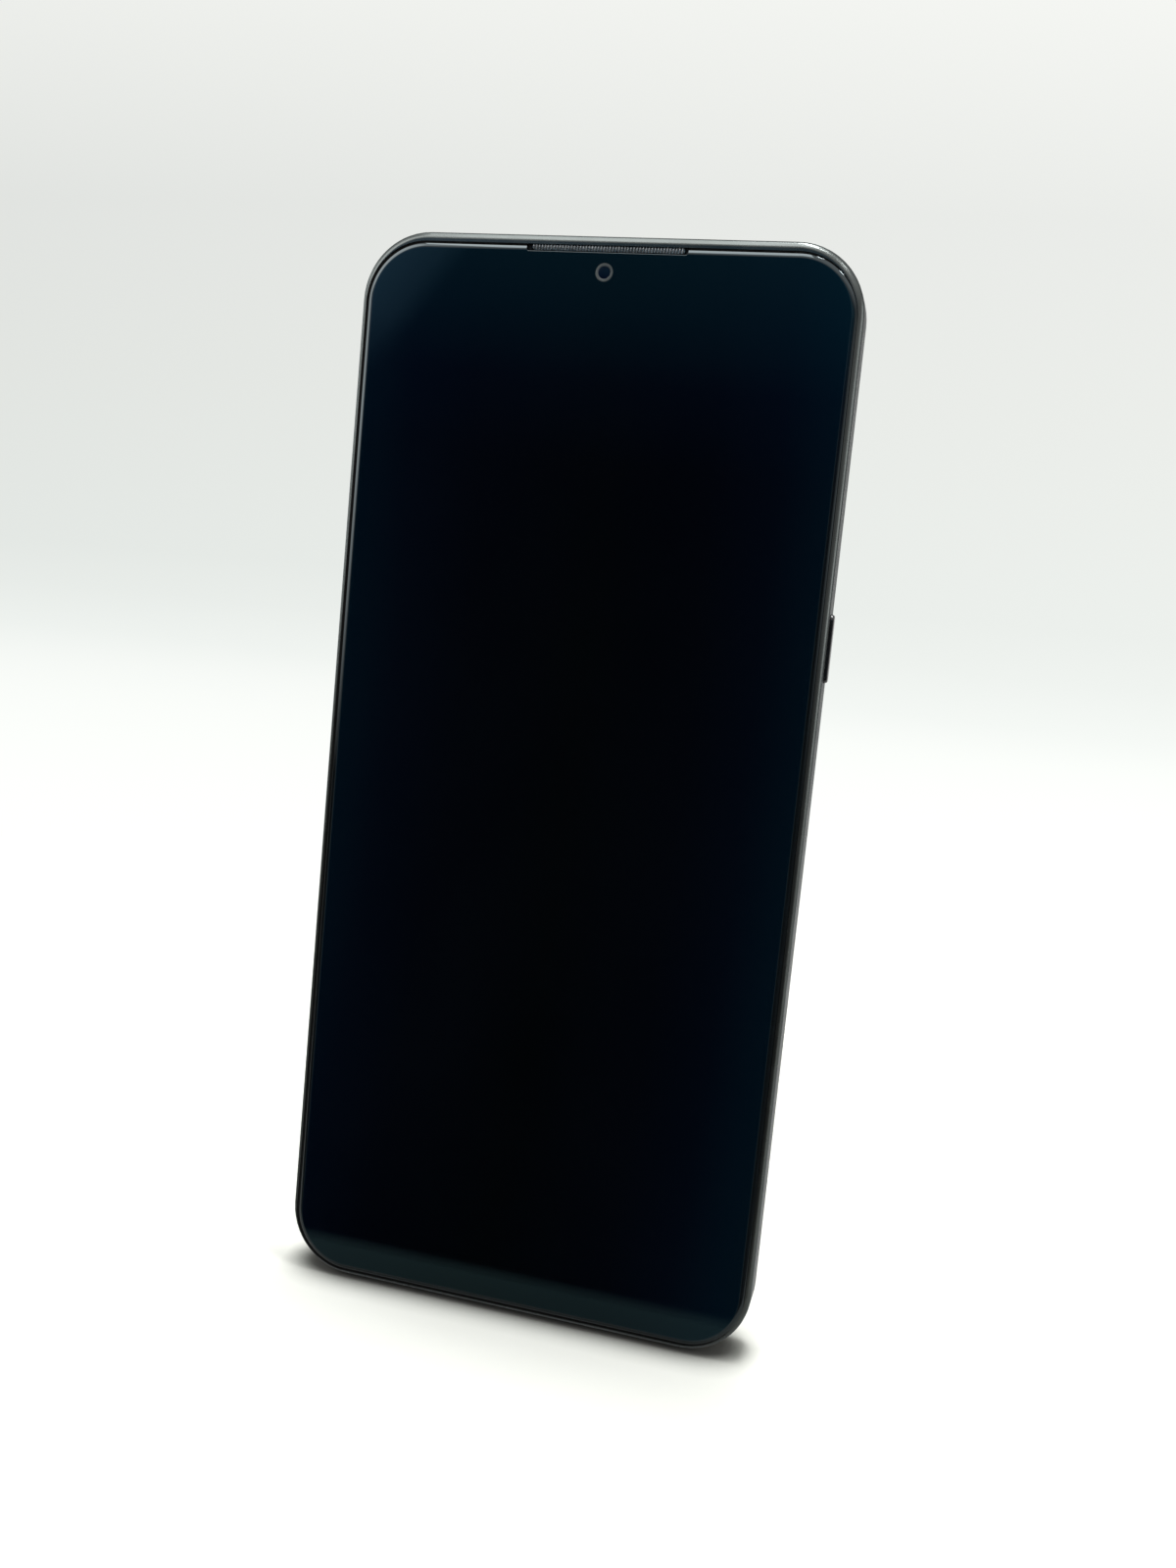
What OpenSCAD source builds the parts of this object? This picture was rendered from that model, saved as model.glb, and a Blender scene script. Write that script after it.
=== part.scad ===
// Smartphone, standing on its bottom edge with the screen facing -Y.
// Every module draws in a flat frame: x across, y up the body, z the depth behind the
// glass front. stand() turns that frame upright.

/* [Body] */
// Width of the body without its keys
body_w = 76; // [74:0.5:80]
// Height of the body
body_h = 165.5; // [163:0.5:172]
// Thickness from glass front to back cover
body_t = 8.3; // [8.2:0.1:9]
// Radius of the body's four corners
corner_r = 10.3; // [8:0.1:12]
// Thickness of the metal side band
band_wall = 0.85; // [0.75:0.05:0.95]
// Radius of the band's front shoulder
shoulder_r = 1.3; // [1:0.1:1.5]
// Depth where the band's front shoulder starts
shoulder_d = 0.2; // [0.1:0.05:0.4]
// Thickness of the back cover
cover_wall = 0.9; // [0.8:0.05:1]
// Radius of the back cover's rolled edge
cover_roll_r = 1.9; // [1.2:0.1:1.9]
// Height of the seam between band and back cover
seam_gap = 0.1; // [0.05:0.05:0.2]

/* [Screen] */
// Thickness of the front glass
glass_t = 0.7; // [0.5:0.05:0.9]
// Radius of the glass's rounded front edge
glass_edge_r = 0.45; // [0.3:0.05:0.5]
// Width of the open joint around the glass
glass_gap = 0.3; // [0.2:0.05:0.4]
// Width of the chassis lip between band and glass
lip_w = 0.4; // [0.3:0.05:0.5]
// Depth of the lip's front face
lip_d = 0.3; // [0.2:0.05:0.5]
// Width of the adhesive gasket that holds the glass
gasket_w = 0.85; // [0.6:0.05:1]
// Thickness of the adhesive gasket
gasket_t = 0.25; // [0.15:0.05:0.4]
// Thickness of the display panel
panel_t = 1.4; // [1:0.1:1.5]
// Thickness of the heat spreader behind the panel
spreader_t = 0.1; // [0.05:0.05:0.15]
// Thickness of the chassis plate
plate_t = 0.5; // [0.4:0.05:0.6]
// Thickness of the chassis wall inside the band
chassis_wall = 0.9; // [0.8:0.05:1]

/* [Earpiece and front camera] */
// Length of the earpiece slot
slot_w = 24.4; // [20:0.2:28]
// Depth of the slot's notch in the glass edge
slot_notch = 0.8; // [0.6:0.05:0.9]
// Spacing of the earpiece mesh's ribs
mesh_pitch = 0.45; // [0.4:0.05:0.8]
// Front camera's distance from the top of the body
front_camera_drop = 5.4; // [5:0.1:6]
// Diameter of the front camera's lens ring
front_ring_d = 2.6; // [2.2:0.1:3]

/* [Keys] */
// Power key's distance below the top of the body
power_drop = 56.6; // [55.5:0.1:58]
// Length of the power key
power_l = 10; // [9:0.5:11]
// Volume-up key's distance below the top of the body
volume_up_drop = 41.2; // [40.8:0.1:41.8]
// Volume-down key's distance below the top of the body
volume_down_drop = 52.2; // [51.8:0.1:53]
// Length of each volume key
volume_l = 9; // [8:0.5:9.5]
// Thickness of the keys across the body's edge
key_t = 2; // [1.6:0.1:2.2]
// Depth of the keys' centre line behind the glass front
key_d = 4.5; // [4.4:0.05:4.6]
// How far the keys stand out of the band
key_proud = 0.5; // [0.4:0.05:0.7]
// Travel of the keys
key_travel = 0.3; // [0.2:0.05:0.35]

/* [SIM tray] */
// SIM tray's distance below the top of the body
tray_drop = 24.5; // [24:0.1:25]
// Length of the tray along the body's edge
tray_l = 14; // [13.8:0.1:14.4]
// How far the tray reaches into the body
tray_reach = 15.6; // [15.4:0.1:16]
// Thickness of the tray's blade
tray_t = 0.8; // [0.75:0.05:0.85]
// Depth of the tray's centre line behind the glass front
tray_d = 5.1; // [5.05:0.05:5.15]
// Thickness of the tray's head across the body's edge
tray_head_t = 1.8; // [1.6:0.1:1.9]

/* [Ports] */
// Width of the USB socket's opening
usb_w = 8.34; // [8.3:0.02:8.4]
// Height of the USB socket's opening
usb_h = 2.56; // [2.5:0.02:2.6]
// Length of the USB socket
usb_l = 7.3; // [7:0.1:8]
// Wall of the USB shell
usb_wall = 0.3; // [0.2:0.05:0.3]
// Depth of the ports' centre line behind the glass front
port_d = 4.5; // [4.45:0.05:4.55]
// Headphone jack's distance left of the centre
jack_x = 20; // [18:0.5:21]
// Bore radius of the headphone jack
jack_bore_r = 1.8; // [1.78:0.01:1.84]
// Depth of the jack's bore
jack_bore_l = 14; // [13.5:0.1:14.5]
// Width of the jack's block
jack_w = 6; // [5.4:0.1:6.4]

/* [Cameras] */
// Width of the camera island
island_w = 27; // [26:0.5:28]
// Height of the camera island
island_h = 36; // [35:0.5:37]
// Corner radius of the camera island
island_r = 7; // [5:0.5:8]
// How far the island stands out of the back cover
island_proud = 1.4; // [1.2:0.1:1.8]
// Island's distance from the body's side
island_side = 3.5; // [3:0.5:4]
// Island's distance from the body's top
island_top = 7; // [6.5:0.5:7.5]
// Thickness of the island's cover glass
island_glass_t = 0.6; // [0.5:0.05:0.7]
// Side of the two large camera modules
camera_box = 9.5; // [9:0.1:10.5]
// Radius of the two large lens barrels
lens_r = 3.2; // [2.8:0.1:3.4]
// Side of the close-up camera module
closeup_box = 6; // [5.5:0.1:6.5]
// Radius of the close-up lens barrel
closeup_r = 1.9; // [1.6:0.1:2]
// Radius of the flash lens
flash_r = 2.1; // [1.8:0.1:2.4]
// Focus travel of the main lens
focus_travel = 0.25; // [0.1:0.05:0.3]

/* [Battery and boards] */
// Thickness of the battery
battery_t = 4.3; // [4:0.05:4.4]
// Height where the battery starts
battery_z = 35; // [34.5:0.5:35.5]
// Thickness of the circuit boards
board_t = 0.8; // [0.6:0.05:0.9]
// Stand-off of the boards from the chassis plate
board_lift = 1; // [0.8:0.05:1.1]
// Height of the shield cans
shield_h = 1.4; // [1.2:0.05:1.5]
// Thickness of the plastic covers over the boards
shroud_t = 0.7; // [0.6:0.05:0.8]
// Radius of the screw shanks
screw_r = 0.6; // [0.5:0.05:0.65]
// Radius of the screw heads
screw_head_r = 1.2; // [1.1:0.05:1.3]

/* [Sound and vibration] */
// Width of the loudspeaker box
speaker_w = 23; // [21:0.5:23.5]
// Loudspeaker box's distance from the body's side
speaker_side = 3.8; // [2.2:0.1:4]
// Height of the loudspeaker box
speaker_h = 24; // [22:0.5:25]
// Radius of the speaker holes in the band
speaker_hole_r = 0.55; // [0.4:0.05:0.7]
// Number of speaker holes
speaker_holes = 6; // [4:1:7]
// Radius of the vibration motor's case
motor_r = 2; // [1.8:0.05:2.05]
// Length of the vibration motor's case
motor_l = 8; // [7:0.1:8.5]
// Radius of the motor's shaft
motor_shaft_r = 0.4; // [0.3:0.05:0.5]

/* [Fits] */
// Clearance around parts that slide in the body
slide_gap = 0.1; // [0.06:0.01:0.12]
// Clearance between a part and the pocket it is laid in
lay_gap = 0.1; // [0.05:0.01:0.15]
// Radial clearance of a shaft or a lens barrel in its bore
run_gap = 0.05; // [0.02:0.01:0.08]

/* [Hidden] */
$fn = 64;
eps = 0.01;

// heights of the keys and the SIM tray
power_z = body_h - power_drop;
volume_up_z = body_h - volume_up_drop;
volume_down_z = body_h - volume_down_drop;
tray_z = body_h - tray_drop;

// places across the body, measured inwards from the side as "_i"
half_w = body_w / 2;
lip_end_i = band_wall + lip_w;
glass_i = lip_end_i + glass_gap;
gasket_i = glass_i + lay_gap;
ledge_end_i = gasket_i + gasket_w;
panel_i = ledge_end_i + lay_gap;
cavity_i = band_wall + chassis_wall;

// depths behind the glass front, "_d"
front_y = -(body_t + island_proud) / 2;
ledge_d = glass_t + gasket_t;
panel_back_d = glass_t + panel_t;
plate_front_d = panel_back_d + spreader_t;
plate_back_d = plate_front_d + plate_t;
cover_inner_d = body_t - cover_wall;
cover_edge_d = body_t - cover_roll_r;
band_end_d = cover_edge_d - seam_gap;
board_d = plate_back_d + board_lift;
board_back_d = board_d + board_t;
shroud_space = 0.15;
shroud_back_d = cover_inner_d - shroud_space;
shroud_d = shroud_back_d - shroud_t;

// crease between band and chassis lip
crease_w = 0.08;
crease_h = 0.12;

// keys, from outside to inside
key_flange = 0.4;
key_flange_rim = 0.4;
key_flange_i = band_wall + lay_gap / 4;
key_nub_r = 0.6;
key_nub_l = 0.4;
key_nub_end_i = key_flange_i + key_flange + key_nub_l;
switch_gap = 0.05;
switch_i = key_nub_end_i + key_travel + switch_gap;
switch_h = 0.6;
switch_w = 3;
switch_t = 2;
dome_r = 0.8;
dome_h = 0.2;
flex_t = 0.15;
key_flex_i = switch_i + switch_h;
key_rib_i = key_flex_i + flex_t;
key_rib_t = 0.8;
key_edge = 0.12;

// SIM tray and reader
tray_head = 1.1;
tray_i = tray_head;
blade_w = 9.9;
card_l = 12.3;
card_w = 8.8;
card_t = 0.67;
card_gap = 0.05;
card_i = 2.2;
reader_i = cavity_i + lay_gap;
reader_wall = 0.8;
reader_end_i = tray_reach + reader_wall + slide_gap;
reader_back_d = tray_d + tray_t / 2 + slide_gap + 0.5;
pin_hole_r = 0.45;
pin_hole_z = tray_z + tray_l / 2 - tray_head_t / 2;
ejector_w = 0.8;
ejector_l = 7;

// ports
port_in_i = cover_wall + lay_gap;
usb_end_i = port_in_i + usb_l;
usb_back_wall = 0.5;
usb_tongue_w = 6.7;
usb_tongue_t = 0.7;
usb_tongue_back = 1.1;
jack_block_t = 4;
jack_end_wall = 1;
jack_end_i = port_in_i + jack_bore_l + jack_end_wall;
jack_spring_w = 1.2;
jack_spring_l = 8;
jack_spring_t = 0.2;
mic_w = 3;
mic_h = 2;
mic_t = 1.1;
mic_hole_r = 0.5;
low_mic_x = -10.5;
top_mic_x = -16;

// camera island
island_x = half_w - island_side - island_w / 2;
island_z = body_h - island_top - island_h / 2;
island_d = body_t + island_proud;
bezel_wall = 0.7;
bezel_flange = 0.8;
bezel_flange_t = 0.35;
bezel_floor = 0.7;
cover_glass_d = island_d - island_glass_t - 0.05;
camera_dx = island_w / 2 - bezel_wall - camera_box / 2 - 1.8;
camera_dz = island_h / 2 - bezel_wall - camera_box / 2 - 3.2;
camera_spots = [[island_x - camera_dx, island_z + camera_dz],
                [island_x - camera_dx, island_z - camera_dz],
                [island_x + camera_dx, island_z + camera_dz],
                [island_x + camera_dx, island_z]];
camera_back_d = cover_inner_d + 0.4;
barrel_end_d = camera_back_d + 0.5;
sensor_t = 1;
lens_hole_gap = 0.6;
lens_dish = 0.35;
flash_rim = 1;
flash_rim_t = 0.4;
led_w = 2.4;
led_t = 0.5;
bezel_floor_d = cover_glass_d - 0.05 - bezel_floor;

// front camera and earpiece
front_camera_z = body_h - front_camera_drop;
front_box = 5.4;
front_barrel_r = front_ring_d / 2 - 0.05;
punch_r = front_ring_d / 2 + 0.45;
slot_end_slant = 0.6;
mesh_back_t = gasket_t;
mesh_rib_w = 0.2;
mesh_rib_t = 0.25;
duct_x = 6.5;
duct_l = 5;
duct_end_d = 1.6;
receiver_x = 6;
receiver_l = 12;
receiver_w = 4.8;
receiver_t = 2.8;

// boards
board_i = cavity_i + 0.5;
board_above_island = 7.5;
board_side_gap = 2;
main_board_z = island_z - island_h / 2 + board_above_island;
main_board_right = island_x - island_w / 2 - board_side_gap;
sub_board_drop = 7.5;
sub_board_z = battery_z - sub_board_drop;
speaker_x = half_w - speaker_side - speaker_w;
speaker_board_gap = 1.4;
sub_board_right = speaker_x - speaker_board_gap;
port_room = 0.3;
boss_r = 1.5;
screw_l = 2.4;
screw_head_t = 0.4;
screw_slot = [1.4, 0.35];

// ribbon beside the battery, then the battery itself
flex_i = key_rib_i + key_rib_t + port_room;
flex_w = 2.8;
battery_side_gap = 0.5;
battery_i = flex_i + flex_w + battery_side_gap;
battery_w = body_w - 2 * battery_i;
battery_top_gap = 0.7;
battery_top = island_z - island_h / 2 - bezel_flange - battery_top_gap;
battery_d = plate_back_d + 0.1;
battery_r = 1.5;
circuit_h = 3;
circuit_t = 3.2;
cell_top = battery_top - circuit_h;
tape_gap = 6;
tape_edge = 3.5;
lead_x = -18;
lead_w = 6;
connector_t = 0.8;
connector_h = 1.8;
connector_edge = 0.4;
flex_tail = 2.8;

// screws: how far they stand from the boards' edges
screw_edge = 2.2;
screw_side = 3.2;
screw_top = 5.2;
screw_battery = 3.8;
screw_camera = 9.5;
mid_screw_x = -8;
board_screw_z = main_board_z + screw_edge;
upper_screws = [[board_i + screw_side - half_w, body_h - screw_top], [mid_screw_x, body_h - screw_top],
                [mid_screw_x, board_screw_z], [main_board_right - screw_edge, island_z + screw_camera],
                [battery_i + screw_battery - half_w, board_screw_z]];
low_screw_x = -12.5;
low_screw_z = sub_board_z - screw_edge;
first_screw_z = 5.5;
side_screw_z = 12;
low_right_x = sub_board_right - screw_edge;
lower_screws = [[board_i + screw_edge - half_w, first_screw_z], [battery_i + screw_battery - half_w,
    low_screw_z],
                [low_right_x, side_screw_z], [low_right_x, low_screw_z], [low_screw_x, low_screw_z]];

// display flex, between two screws and just above the sub board
display_flex_x = (low_screw_x + low_right_x) / 2;
display_flex_z = sub_board_z + 1.1;
display_flex_w = 13;
display_flex_tail = 4;

// shield cans as [left, low, right, high], and the chips under them
can_wall = 0.2;
chip_gap = 0.25;
chip_space = 1.5;
processor_h = 13;
can_gap = 2.4;
can_screw_gap = boss_r + 0.9;
can_left = reader_end_i - half_w + can_gap;
processor_can = [can_left, board_screw_z + can_screw_gap, main_board_right - screw_edge - 2,
    body_h - screw_top - 4.3];
radio_can = [board_i + 1.2 - half_w, tray_z + tray_l / 2 + chip_space, can_left - can_gap + 0.4,
             body_h - screw_top - 2.7];

// upper shroud and near-field antenna
shroud_right = island_x - island_w / 2 - bezel_flange - port_room;
antenna_turns = 3;
antenna_step = 1.4;
antenna_w = 0.8;
antenna_side = 6.3;
antenna_right = 7.9;
antenna_top = 8;

// loudspeaker and motor
speaker_i = cavity_i + 0.2;
speaker_t = cover_inner_d - plate_back_d - 0.4;
speaker_wall = 0.6;
speaker_hole_step = 2.4;
cone_w = 12;
cone_h = 15;
cone_r = 1.5;
cone_t = 0.4;
magnet_t = 1.6;
motor_x = 8.2 - half_w;
motor_z = battery_z - 3.8;
motor_d = plate_back_d + motor_r + 0.3;
motor_foot_w = 3;
weight_l = 3.4;
weight_gap = 0.5;
weight_r = motor_r - 0.15;

// turns the flat drawing upright
module stand() { translate([0, front_y, 0]) mirror([0, 1, 0]) rotate([90, 0, 0]) children(); }

// block between two corners and two depths
module block(x0, y0, x1, y1, d0, d1) { translate([x0, y0, d0]) cube([x1 - x0, y1 - y0, d1 - d0]); }

// rounded block between two corners and two depths
module round_block(x0, y0, x1, y1, r, d0, d1) {
  block(x0 + r, y0, x1 - r, y1, d0, d1);
  block(x0, y0 + r, x1, y1 - r, d0, d1);
  for (x = [x0 + r, x1 - r], y = [y0 + r, y1 - r]) translate([x, y, d0]) cylinder(r = r, h = d1 - d0);
}

// the body's outline, drawn in from the sides
module outline(inset, d0, d1) {
  round_block(inset - half_w, inset, half_w - inset, body_h - inset, corner_r - inset, d0, d1);
}

// sweeps a profile around the body; its x is the distance out from the corner centres
module rim() {
  for (s = [0, 1]) mirror([s, 0, 0]) {
    translate([half_w - corner_r, body_h - corner_r, 0]) rotate_extrude(angle = 90) children();
    translate([half_w - corner_r, corner_r, 0]) rotate([0, 0, -90]) rotate_extrude(angle = 90) children();
    translate([half_w - corner_r, body_h - corner_r, 0])
      rotate([90, 0, 0]) linear_extrude(body_h - 2 * corner_r) children();
  }
  for (s = [0, 1]) translate([0, s * body_h, 0]) mirror([0, s, 0])
    translate([half_w - corner_r, corner_r, 0]) rotate([0, 0, -90])
      rotate([90, 0, 0]) linear_extrude(body_w - 2 * corner_r) children();
}

// a bar with round ends that runs across the body, between two x
module side_pill(z, d, l, t, x0, x1) {
  for (e = [-1, 1]) translate([x0, z + e * (l - t) / 2, d]) rotate([0, 90, 0]) cylinder(d = t, h = x1 - x0);
  block(x0, z - (l - t) / 2, x1, z + (l - t) / 2, d - t / 2, d + t / 2);
}

// a bar with round ends that runs up the body from its bottom edge, between two heights
module port_pill(x, d, w, t, y0, y1) {
  for (e = [-1, 1]) translate([x + e * (w - t) / 2, y0, d]) rotate([-90, 0, 0]) cylinder(d = t,
      h = y1 - y0);
  block(x - (w - t) / 2, y0, x + (w - t) / 2, y1, d - t / 2, d + t / 2);
}

// a round bar up the body
module post(x, d, r, y0, y1) { translate([x, y0, d]) rotate([-90, 0, 0]) cylinder(r = r, h = y1 - y0); }

// ---- screen ----

// outline of the glass edge's rounding, seen along the edge
module glass_edge_profile() {
  r = corner_r - glass_i;
  translate([r - glass_edge_r, glass_edge_r]) intersection() {
    circle(r = glass_edge_r);
    translate([0, -glass_edge_r]) square(glass_edge_r);
  }
  translate([r - glass_edge_r, glass_edge_r]) square([glass_edge_r, glass_t - glass_edge_r]);
}

// tapered notch in the glass's top edge
module slot_notch_cut() {
  top = body_h - glass_i;
  translate([0, 0, -eps]) linear_extrude(glass_t + 2 * eps) polygon([
    [-slot_w / 2, top + eps], [slot_w / 2, top + eps],
    [slot_w / 2 - slot_end_slant, top - slot_notch], [slot_end_slant - slot_w / 2, top - slot_notch]]);
}

module front_glass() {
  color([0.02, 0.03, 0.035]) stand() difference() {
    union() {
      outline(glass_i + glass_edge_r, 0, glass_t);
      rim() glass_edge_profile();
    }
    slot_notch_cut();
  }
}

module display_panel() {
  color([0.08, 0.09, 0.1]) stand() difference() {
    outline(panel_i, glass_t, panel_back_d);
    translate([0, front_camera_z, 0]) cylinder(r = punch_r, h = panel_back_d + eps);
  }
}

module display_gasket() {
  color([0.1, 0.1, 0.1]) stand() difference() {
    outline(gasket_i, glass_t, ledge_d);
    outline(ledge_end_i, glass_t - eps, ledge_d + eps);
    block(-slot_w / 2, body_h - ledge_end_i - 1, slot_w / 2, body_h, glass_t - eps, ledge_d + eps);
  }
}

module heat_spreader() {
  color([0.2, 0.2, 0.21]) stand()
    block(panel_i + 3 - half_w, display_flex_z + 1.5, half_w - panel_i - 3, front_camera_z - front_box,
      panel_back_d, plate_front_d);
}

module display_flex() {
  x0 = display_flex_x - display_flex_w / 2;
  x1 = x0 + display_flex_w;
  end_z = display_flex_z + flex_t;
  color([0.75, 0.45, 0.15]) stand() {
    block(x0, display_flex_z - display_flex_tail, x1, end_z, panel_back_d, plate_front_d);
    block(x0, display_flex_z, x1, end_z, panel_back_d, board_d);
    block(x0, display_flex_z - display_flex_tail, x1, end_z, board_d - flex_t, board_d);
  }
}

// ---- frame ----

module key_pocket(s, z, l) {
  reach = key_flange_rim + slide_gap;
  mirror([s < 0 ? 1 : 0, 0, 0])
    block(half_w - cavity_i - eps, z - l / 2 - reach, half_w - band_wall + eps, z + l / 2 + reach,
      key_d - key_t / 2 - reach, key_d + key_t / 2 + reach);
}

// ledge that the key switches lean on
module key_rib(s, z, l) {
  mirror([s < 0 ? 1 : 0, 0, 0])
    block(half_w - key_rib_i - key_rib_t, z - l / 2, half_w - key_rib_i, z + l / 2,
      plate_back_d - eps, key_d + key_t);
}

module boss(spot) { translate([spot[0], spot[1], plate_back_d - eps]) cylinder(r = boss_r,
    h = shroud_d - plate_back_d + eps); }

module screw_hole(spot) {
  translate([spot[0], spot[1], shroud_back_d - screw_head_t - screw_l - 0.2])
    cylinder(r = screw_r + run_gap, h = screw_l + 1);
}

module tray_opening(x0, x1) {
  side_pill(tray_z, tray_d, tray_l + 2 * slide_gap, tray_head_t + 2 * slide_gap, x0, x1);
}

module speaker_hole_row(y0, y1) {
  first = speaker_x + 3;
  for (n = [0:speaker_holes - 1]) post(first + n * speaker_hole_step, port_d, speaker_hole_r, y0, y1);
}

module chassis() {
  blade_room = blade_w + 2 * slide_gap;
  color([0.06, 0.06, 0.065]) stand() difference() {
    union() {
      difference() {
        outline(band_wall, lip_d, cover_edge_d);
        outline(lip_end_i, lip_d - eps, ledge_d);
        outline(ledge_end_i, lip_d - eps, plate_front_d);
        outline(cavity_i, plate_back_d, cover_edge_d + eps);
      }
      key_rib(1, power_z, power_l - 1);
      key_rib(-1, volume_up_z, volume_l - 1);
      key_rib(-1, volume_down_z, volume_l - 1);
      for (spot = upper_screws) boss(spot);
      for (spot = lower_screws) boss(spot);
    }
    crease_cut();
    key_pocket(1, power_z, power_l);
    key_pocket(-1, volume_up_z, volume_l);
    key_pocket(-1, volume_down_z, volume_l);
    tray_opening(-half_w, tray_head - half_w);
    block(-half_w, tray_z - blade_room / 2, -half_w + cavity_i + eps, tray_z + blade_room / 2,
      tray_d - tray_t / 2 - slide_gap, tray_d + tray_t / 2 + slide_gap);
    pin_way(-half_w, -half_w + cavity_i + eps);
    port_pill(0, port_d, usb_w + 2 * usb_wall + 2 * lay_gap, usb_h + 2 * usb_wall + 2 * lay_gap, 0,
        cavity_i + 1);
    jack_room(0);
    post(low_mic_x, port_d, mic_hole_r, 0, cavity_i + 1);
    post(top_mic_x, port_d, mic_hole_r, body_h - cavity_i - 1, body_h);
    speaker_hole_row(0, cavity_i + 1);
    for (spot = concat(upper_screws, lower_screws)) screw_hole(spot);
    // seat of the earpiece mesh, the trough behind it and the duct to the receiver
    block(-slot_w / 2 + slot_end_slant, body_h - lip_end_i - eps, slot_w / 2 - slot_end_slant,
        body_h - band_wall - lay_gap / 2,
      lip_d - eps, ledge_d);
    block(0.5 - slot_w / 2, body_h - ledge_end_i + lay_gap, slot_w / 2 - 0.5, body_h - cavity_i,
        ledge_d - eps, duct_end_d);
    block(duct_x, body_h - ledge_end_i + lay_gap, duct_x + duct_l, body_h - cavity_i, ledge_d - eps,
        plate_back_d + eps);
    // front camera and display flex pass through the plate
    block(-front_box / 2 - lay_gap, front_camera_z - front_box / 2 - lay_gap, front_box / 2 + lay_gap,
      front_camera_z + front_box / 2 + lay_gap, plate_front_d - eps, plate_back_d + eps);
    block(display_flex_x - display_flex_w / 2 - lay_gap, display_flex_z - 2 * lay_gap,
      display_flex_x + display_flex_w / 2 + lay_gap, display_flex_z + flex_t + 2 * lay_gap,
      plate_front_d - eps, plate_back_d + eps);
  }
}

// fine groove between the band and the lip
module crease_cut() {
  difference() {
    outline(band_wall - eps, lip_d - eps, lip_d + crease_h);
    outline(band_wall + crease_w, lip_d - 2 * eps, lip_d + crease_h + eps);
  }
}

// room for the jack's block in the chassis plate and wall
module jack_room(y0) {
  w = jack_w / 2 + lay_gap;
  block(-jack_x - w, y0, w - jack_x, jack_end_i + lay_gap,
    port_d - jack_block_t / 2 - lay_gap, port_d + jack_block_t / 2 + lay_gap);
}

// way for the eject pin, beside the tray's blade
module pin_way(x0, x1) {
  translate([x0, pin_hole_z, tray_d]) rotate([0, 90, 0]) cylinder(r = pin_hole_r, h = x1 - x0);
}

module band_profile() {
  flat_end = corner_r - band_wall;
  start = shoulder_d + shoulder_r;
  translate([flat_end, start - eps]) square([band_wall, band_end_d - start + eps]);
  intersection() {
    translate([corner_r - shoulder_r, start]) circle(r = shoulder_r);
    translate([flat_end, 0]) square([band_wall, start]);
  }
}

module side_band() {
  color([0.3, 0.31, 0.32]) stand() difference() {
    rim() band_profile();
    side_pill(power_z, key_d, power_l + 2 * slide_gap, key_t + 2 * slide_gap, half_w - band_wall - eps,
        half_w + eps);
    for (z = [volume_up_z, volume_down_z])
      side_pill(z, key_d, volume_l + 2 * slide_gap, key_t + 2 * slide_gap, -half_w - eps,
          band_wall + eps - half_w);
    tray_opening(-half_w - eps, band_wall + eps - half_w);
    port_pill(0, port_d, usb_w + 2 * lay_gap, usb_h + 2 * lay_gap, -eps, band_wall + eps);
    post(-jack_x, port_d, jack_bore_r + lay_gap, -eps, band_wall + eps);
    post(low_mic_x, port_d, mic_hole_r, -eps, band_wall + eps);
    post(top_mic_x, port_d, mic_hole_r, body_h - band_wall - eps, body_h + eps);
    speaker_hole_row(-eps, band_wall + eps);
  }
}

// the island's outline, grown by "out"
module island_outline(out, d0, d1) {
  round_block(island_x - island_w / 2 - out, island_z - island_h / 2 - out,
    island_x + island_w / 2 + out, island_z + island_h / 2 + out, island_r + out, d0, d1);
}

module back_cover() {
  color([0.1, 0.11, 0.12]) stand() difference() {
    union() {
      outline(cover_roll_r, cover_inner_d, body_t);
      rim() difference() {
        intersection() {
          translate([corner_r - cover_roll_r, cover_edge_d]) circle(r = cover_roll_r);
          translate([corner_r - cover_roll_r, cover_edge_d]) square(cover_roll_r);
        }
        translate([corner_r - cover_roll_r, cover_edge_d]) circle(r = cover_roll_r - cover_wall);
      }
    }
    island_outline(lay_gap, cover_inner_d - eps, body_t + eps);
  }
}

// ---- cameras ----

module camera_bezel() {
  hole_r = [lens_r, lens_r, closeup_r, flash_r];
  color([0.25, 0.26, 0.27]) stand() difference() {
    union() {
      island_outline(0, cover_inner_d - bezel_flange_t, island_d);
      island_outline(bezel_flange, cover_inner_d - bezel_flange_t, cover_inner_d);
    }
    island_outline(-bezel_wall, bezel_floor_d + bezel_floor, island_d + eps);
    island_outline(-bezel_wall - 0.5, cover_inner_d - bezel_flange_t - eps, bezel_floor_d);
    for (n = [0:3]) translate([camera_spots[n][0], camera_spots[n][1], 0])
      cylinder(r = hole_r[n] + lens_hole_gap, h = island_d);
  }
}

module camera_cover_glass() {
  color([0.03, 0.03, 0.035]) stand()
    island_outline(-bezel_wall - 0.05, cover_glass_d, island_d - 0.05);
}

// a camera's case, centred on its spot
module camera_case(spot, side, back) {
  block(spot[0] - side / 2, spot[1] - side / 2, spot[0] + side / 2, spot[1] + side / 2, plate_back_d, back);
}

// a lens barrel with a dished front
module barrel(spot, r, d0, d1) {
  translate([spot[0], spot[1], 0]) difference() {
    translate([0, 0, d0]) cylinder(r = r, h = d1 - d0);
    translate([0, 0, d1 - lens_dish]) cylinder(r = 0.7 * r, h = lens_dish + eps);
  }
}

module main_camera_housing() {
  color([0.12, 0.12, 0.13]) stand() difference() {
    camera_case(camera_spots[0], camera_box, camera_back_d);
    translate([camera_spots[0][0], camera_spots[0][1], plate_back_d + sensor_t])
      cylinder(r = lens_r + run_gap, h = camera_back_d);
  }
}

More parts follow.
